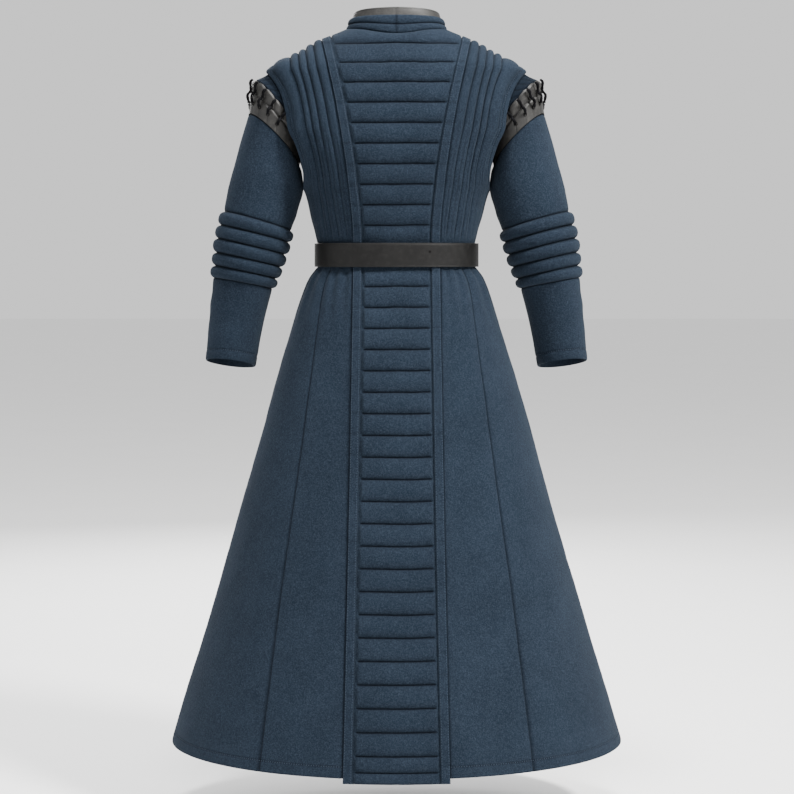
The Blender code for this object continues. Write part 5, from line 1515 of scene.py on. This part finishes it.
def makeLace(side, name, turn, way):
    # A two-strand twist: radius = r * (1 + s * cos(2 * (turn - twist * distance))).
    down = lacePath.places
    finer = np.linspace(down[0], down[-1], laceForm["points"])
    beyond = lacePath.at("turn", finer)
    lift = lacePath.at("lift", finer)
    angle = np.radians(way * (turn + beyond))
    tilted = leatherShape(finer)
    tilt = np.radians(tilted["tilt"])
    wide = (tilted["halfWidth"] + lift + laceForm["radius"]) * np.cos(angle)
    deep = (tilted["halfDepth"] + lift + laceForm["radius"]) * np.sin(angle)
    path = np.stack([tilted["x"] + wide * np.cos(tilt), tilted["y"] + deep,
                     tilted["z"] + wide * np.sin(tilt) + tilted["backLift"] * np.sin(angle)], -1)
    distance = np.concatenate([[0.0], np.cumsum(np.linalg.norm(np.diff(path, axis=0), axis=1))])
    twisted = sweep(path, laceForm["sides"], lambda around: laceForm["radius"] * (
        1.0 - laceForm["strand"] + laceForm["strand"]
        * np.cos(2.0 * (around - laceForm["twist"] * distance[:, None] / 2.0))))
    rings = oriented(mirrored(twisted, side))
    makeObject(name + "_twist", lowered(rings.reshape(-1, 3)),
               tubeFaces(len(path), laceForm["sides"], False), cordBlack, [name], 80.0)
    return path


eyelet = {"radius": 0.0034, "wire": 0.0009, "around": 18, "sides": 8}


def makeEyelets(side, word):
    # Rings of wire on the leather at the end and the middle of each lace.
    points, faces, made = [], [], 0
    for k in range(5):
        turn = capForm["firstEyelet"] + capForm["eyeletStep"] * k
        for way in (1, -1):
            for down, beyond in ((capForm["eyeletDown"], 0.0), (capForm["holeDown"], 5.5)):
                angle = math.radians(way * (turn + beyond))
                here, after, low = (mirrored(ringAt(d, a, 0.0012), side) for d, a in (
                    (down, angle), (down, angle + 0.01), (down + 0.01, angle)))
                u, v = unit(after - here), low - here
                v = unit(v - u * float(np.dot(u, v)))
                around = np.linspace(0.0, 2.0 * math.pi, eyelet["around"], endpoint=False)
                ring = here + eyelet["radius"] * (np.cos(around)[:, None] * u
                                                  + np.sin(around)[:, None] * v)
                tube = sweep(ring, eyelet["sides"],
                             lambda a: eyelet["wire"] + 0.0 * a + np.zeros((len(ring), 1)), True)
                cells = np.array(tubeFaces(eyelet["around"], eyelet["sides"], True))
                points.append(tube.reshape(-1, 3))
                faces += (cells + made).tolist()
                made += eyelet["around"] * eyelet["sides"]
    makeObject("cap_eyelets_" + word, lowered(np.concatenate(points)), faces, darkSteelAndHoleShade,
               sharp=80.0)


def ringAt(down, angle, lift):
    shape = leatherShape(down)
    tilt = math.radians(float(shape["tilt"]))
    wide = (float(shape["halfWidth"]) + lift) * math.cos(angle)
    deep = (float(shape["halfDepth"]) + lift) * math.sin(angle)
    return np.array([float(shape["x"]) + wide * math.cos(tilt), float(shape["y"]) + deep,
                     float(shape["z"]) + wide * math.sin(tilt)
                     + float(shape["backLift"]) * math.sin(angle)])


for side, word in ((1.0, "left"), (-1.0, "right")):
    makeSleeve(side, word)
    makeLeatherCap(side, word)
    makeUnderCap(side, word)
    for k in range(5):
        turn = capForm["firstEyelet"] + capForm["eyeletStep"] * k
        makeLace(side, f"lace_back_{word}_{k + 1}", turn, 1)
        makeLace(side, f"lace_front_{word}_{k + 1}", turn, -1)
    makeEyelets(side, word)
print("sleeves ready")


# Belt, buckle and keeper.

def beltPoint(turn, lift, height):
    # Turn 0 is the centre front; it grows towards the wearer's left and on round the back.
    angle = math.pi - np.asarray(turn, dtype=float)
    power = 2.0 / belt["power"]
    depth = np.where(np.cos(angle) > 0, belt["back"], belt["front"])
    x = (belt["halfWidth"] + lift) * signedPower(np.sin(angle), power)
    y = (depth + lift) * signedPower(np.cos(angle), power)
    return np.stack(np.broadcast_arrays(x, y, height), axis=-1)


def beltLift(turn):
    start = 2.0 * math.pi - math.radians(30)
    return belt["step"] * smoothStep((turn - start) / math.radians(17))


def makeBelt():
    # A rounded strip profile swept round the waist, with a creased line inside each edge; the groove
    # value paints shade into the creases and along the edges.
    turn = np.linspace(belt["start"], belt["end"], 420)[:, None]
    half = belt["width"] / 2.0
    taper = smoothStep((belt["end"] - turn) / math.radians(5.5)) * 0.55 + 0.45
    thick = belt["thickness"]
    profile = [(-1.0, 0.25, 0), (-1.0, 0.75, 0.1), (-0.985, 0.93, 0), (-0.96, 1.0, 0),
               (-0.90, 1.0, 0), (-0.885, 0.90, 0.8), (-0.87, 1.0, 0)]
    profile += [(float(y), 1.0, 0) for y in np.linspace(-0.80, 0.80, 13)]
    profile += [(-y, lift, creaseShade) for y, lift, creaseShade in profile[:7][::-1]]
    profile += [(0.985, 0.07, 0), (0.96, 0.0, 0), (0.0, 0.0, 0), (-0.96, 0.0, 0), (-0.985, 0.07, 0)]
    level, lift, creaseShade = np.array(profile).T
    wave = 0.0003 * softNoise(np.stack(np.broadcast_arrays(turn * 0.15, 0.0 * level[None, :],
                                                           level[None, :] * half), -1), 0.05, 61)
    out = beltLift(turn) + thick * lift[None, :] + wave
    rings = beltPoint(turn + 0.0 * level, out, level[None, :] * half * taper)
    rings = oriented(rings)
    # painted shade in the creased lines and at the edges
    groove = creaseShade[None, :] + 0.0 * turn
    if not np.allclose(rings[0, 0], beltPoint(turn[0], out[0, 0], level[0] * half * taper[0])[0]):
        groove = groove[:, ::-1]
    sides = rings.shape[1]
    makeObject("belt_strap_hide", lowered(rings.reshape(-1, 3)), tubeFaces(len(turn), sides, False),
               beltLeather, ["belt_strap"], 50.0,
               {"groove": groove.reshape(-1)})


def discAt(turn, lift, level, radius, count=16):
    # A small punched hole, shown as a dark sunk disc: painted shade inside the hole.
    here = beltPoint(np.array([turn]), lift, level)[0]
    along = unit(beltPoint(np.array([turn + 0.01]), lift, level)[0] - here)
    up = np.array([0.0, 0.0, 1.0])
    around = np.linspace(0.0, 2.0 * math.pi, count, endpoint=False)
    rim = here + radius * (np.cos(around)[:, None] * along + np.sin(around)[:, None] * up)
    return rim, here


def makeHoles():
    # The free end's adjusting holes and one more in the strap at the back, each a disc of painted
    # shade.
    places = [(belt["end"] - math.radians(10.5 + 5.6 * k), None) for k in range(4)]
    places.append((math.radians(360 - 158), 0.0022))
    points, faces, made = [], [], 0
    for turn, radius in places:
        lift = float(beltLift(np.array(turn))) + belt["thickness"] + 0.00035
        rim, middle = discAt(turn, lift, 0.0 if radius is None else 0.0065, radius or 0.0024)
        normal = unit(np.cross(rim[0] - middle, rim[4] - middle))
        count = len(rim)
        ring2 = middle + (rim - middle) * 0.72 - normal * 0.0001
        points += [rim, ring2, [middle - normal * 0.0001]]
        for k in range(count):
            after = (k + 1) % count
            faces.append((made + k, made + after, made + count + after, made + count + k))
            faces.append((made + count + k, made + count + after, made + 2 * count))
        made += 2 * count + 1
    makeObject("belt_hole_shade_discs", lowered(np.concatenate([np.asarray(p) for p in points])), faces,
               darkSteelAndHoleShade, sharp=80.0)


def roundedLoop(corners, share, count):
    # Each corner of a closed line is replaced by a quadratic arc between points beside it.
    before = corners + (np.roll(corners, 1, axis=0) - corners) * share
    after = corners + (np.roll(corners, -1, axis=0) - corners) * share
    t = np.linspace(0.0, 1.0, count)[None, :, None]
    arcs = ((1 - t) ** 2 * before[:, None] + 2 * t * (1 - t) * corners[:, None]
            + t ** 2 * after[:, None])
    return arcs.reshape(-1, 3)


def makeBuckle():
    bar = 0.0023
    half = belt["width"] / 2.0 + bar + 0.0012
    hingeLift = belt["step"] - bar - 0.0006
    frameLift = belt["step"] + belt["thickness"] + bar + 0.0008
    corners = np.array([
        beltPoint(belt["hinge"], hingeLift, half), beltPoint(belt["frame"], frameLift, half),
        beltPoint(belt["frame"], frameLift, -half), beltPoint(belt["hinge"], hingeLift, -half)])
    path = roundedLoop(corners, 0.16, 9)
    rings = oriented(sweep(path, 14, lambda a: bar * (1.0 + 0.06 * np.cos(2 * a))
                           + np.zeros((len(path), 1)), True))
    makeObject("buckle_frame_bar", lowered(rings.reshape(-1, 3)), tubeFaces(len(path), 14, True),
               steel, ["buckle_frame"], 80.0)
    prong = 0.0016
    over = belt["step"] + belt["thickness"]
    stops = np.array([
        (belt["hinge"] - math.radians(0.5), over + prong + 0.0005),
        (belt["hinge"] - math.radians(5.0), over + prong + 0.0020),
        (belt["frame"] + math.radians(3.0), over + 2.0 * bar + prong + 0.0016),
        (belt["frame"] - math.radians(1.6), over + 2.0 * bar + prong + 0.0016)])
    where = np.linspace(0.0, 3.0, 28)
    path = beltPoint(np.interp(where, range(4), stops[:, 0]),
                     np.interp(where, range(4), stops[:, 1]), 0.0)
    thin = (1.0 - 0.45 * smoothStep((where - 2.6) / 0.4))[:, None]
    rings = oriented(sweep(path, 12, lambda a: prong * thin + 0.0 * a))
    makeObject("buckle_prong_bar", lowered(rings.reshape(-1, 3)), tubeFaces(len(path), 12, False),
               steel, ["buckle_prong"], 80.0)


def makeKeeper():
    # A leather loop round both layers of the belt, with rounded edges.
    turns = np.radians([22.0, 27.0])
    wall = 0.0018
    half = belt["width"] / 2.0 + 0.0008
    low, high = -0.0006, belt["step"] + belt["thickness"] + 0.0008
    profile = ((0.0, 0.0), (0.05, 0.0), (0.10, 0.65), (0.18, 0.95), (0.5, 1.0), (0.82, 0.95),
               (0.90, 0.65), (0.95, 0.0), (1.0, 0.0))
    rings = []
    for share, out in profile[1:-1]:
        turn = turns[0] + (turns[1] - turns[0]) * share
        extra = wall * out
        corners = np.array([(low - extra, half + extra), (high + extra, half + extra),
                            (high + extra, -half - extra), (low - extra, -half - extra)])
        rings.append(roundedLoop(beltPoint(turn, corners[:, 0], corners[:, 1]), 0.12, 6))
    outer = np.array(rings)
    flat = []
    for share in (0.95, 0.5, 0.05):
        turn = turns[0] + (turns[1] - turns[0]) * share
        corners = np.array([(low, half), (high, half), (high, -half), (low, -half)])
        flat.append(roundedLoop(beltPoint(turn, corners[:, 0], corners[:, 1]), 0.12, 6))
    rings = np.concatenate([outer, np.array(flat)])
    sides = rings.shape[1]
    cells = quads(len(rings) + 1, sides, wrap=True) % (len(rings) * sides)
    if np.sum(gridNormals(outer, True) * (outer - outer.mean(axis=1, keepdims=True))) < 0:
        cells = cells[:, ::-1]
    makeObject("belt_keeper_hide", lowered(rings.reshape(-1, 3)), cells.tolist(), beltLeather,
               ["belt_keeper"], 50.0, {"groove": np.zeros(len(rings) * sides)})


makeBelt()
makeHoles()
makeBuckle()
makeKeeper()
for word in ("left", "right"):
    addStitches("stitches_" + word, stitchLines[word], thread)
print("belt and stitches ready")


# Floor, light and camera.

stage = {"floor": waistHeight - 1.11, "size": 30.0}


def makeFloor():
    size = stage["size"]
    corners = [(-size, -size, stage["floor"]), (size, -size, stage["floor"]),
               (size, size, stage["floor"]), (-size, size, stage["floor"])]
    mesh = bpy.data.meshes.new("floor")
    mesh.from_pydata(corners, [], [(0, 1, 2, 3)])
    graph = Graph("pale_floor", {"Roughness": 0.9, "Specular IOR Level": 0.1})
    tone = graph.noise(graph.objectPlace(), 3.0, 3.0, 0.5)
    graph.feed("Base Color", graph.mixColour(tone, (0.90, 0.90, 0.90, 1.0), (0.93, 0.93, 0.93, 1.0)))
    mesh.materials.append(graph.material)
    floor = bpy.data.objects.new("floor", mesh)
    bpy.context.scene.collection.objects.link(floor)


def makeLight(name, place, target, size, power, colour):
    data = bpy.data.lights.new(name, "AREA")
    data.shape = "DISK"
    data.size = size
    data.energy = power
    data.color = colour
    light = bpy.data.objects.new(name, data)
    light.location = place
    direction = np.array(target) - np.array(place)
    yaw = math.atan2(direction[0], -direction[1])
    pitch = math.atan2(np.hypot(direction[0], direction[1]), -direction[2])
    light.rotation_euler = (pitch, 0.0, yaw + math.pi)
    bpy.context.scene.collection.objects.link(light)


def makeWorld():
    world = bpy.data.worlds.new("soft_studio")
    world.use_nodes = True
    background = world.node_tree.nodes["Background"]
    background.inputs["Color"].default_value = (1.0, 1.0, 1.0, 1.0)
    background.inputs["Strength"].default_value = 0.98
    bpy.context.scene.world = world


def makeCamera():
    # Level with the waist, straight behind the coat, with the frame shifted down to it.
    data = bpy.data.cameras.new("camera")
    data.sensor_width = 36.0
    data.lens = 36.0 * 1950.0 / 794.0
    data.shift_x = 0.5 / 794.0
    data.shift_y = -142.0 / 794.0
    camera = bpy.data.objects.new("camera", data)
    camera.location = (0.0, 3.9, waistHeight)
    camera.rotation_euler = (math.pi / 2.0, 0.0, math.pi)
    bpy.context.scene.collection.objects.link(camera)
    bpy.context.scene.camera = camera


makeFloor()
makeWorld()
makeLight("key", (-2.6, 2.0, 2.7), (0.0, 0.0, -0.55), 0.8, 560.0, (1.0, 0.99, 0.97))
makeLight("fill", (2.8, 2.6, 0.2), (0.0, 0.0, -0.6), 2.4, 10.0, (0.95, 0.97, 1.0))
makeLight("top", (0.2, 1.1, 3.0), (0.0, 0.1, -0.5), 1.0, 220.0, (1.0, 1.0, 1.0))
makeLight("front_fill", (0.6, -3.2, 0.9), (0.0, 0.0, -0.5), 2.4, 170.0, (1.0, 1.0, 1.0))
makeCamera()
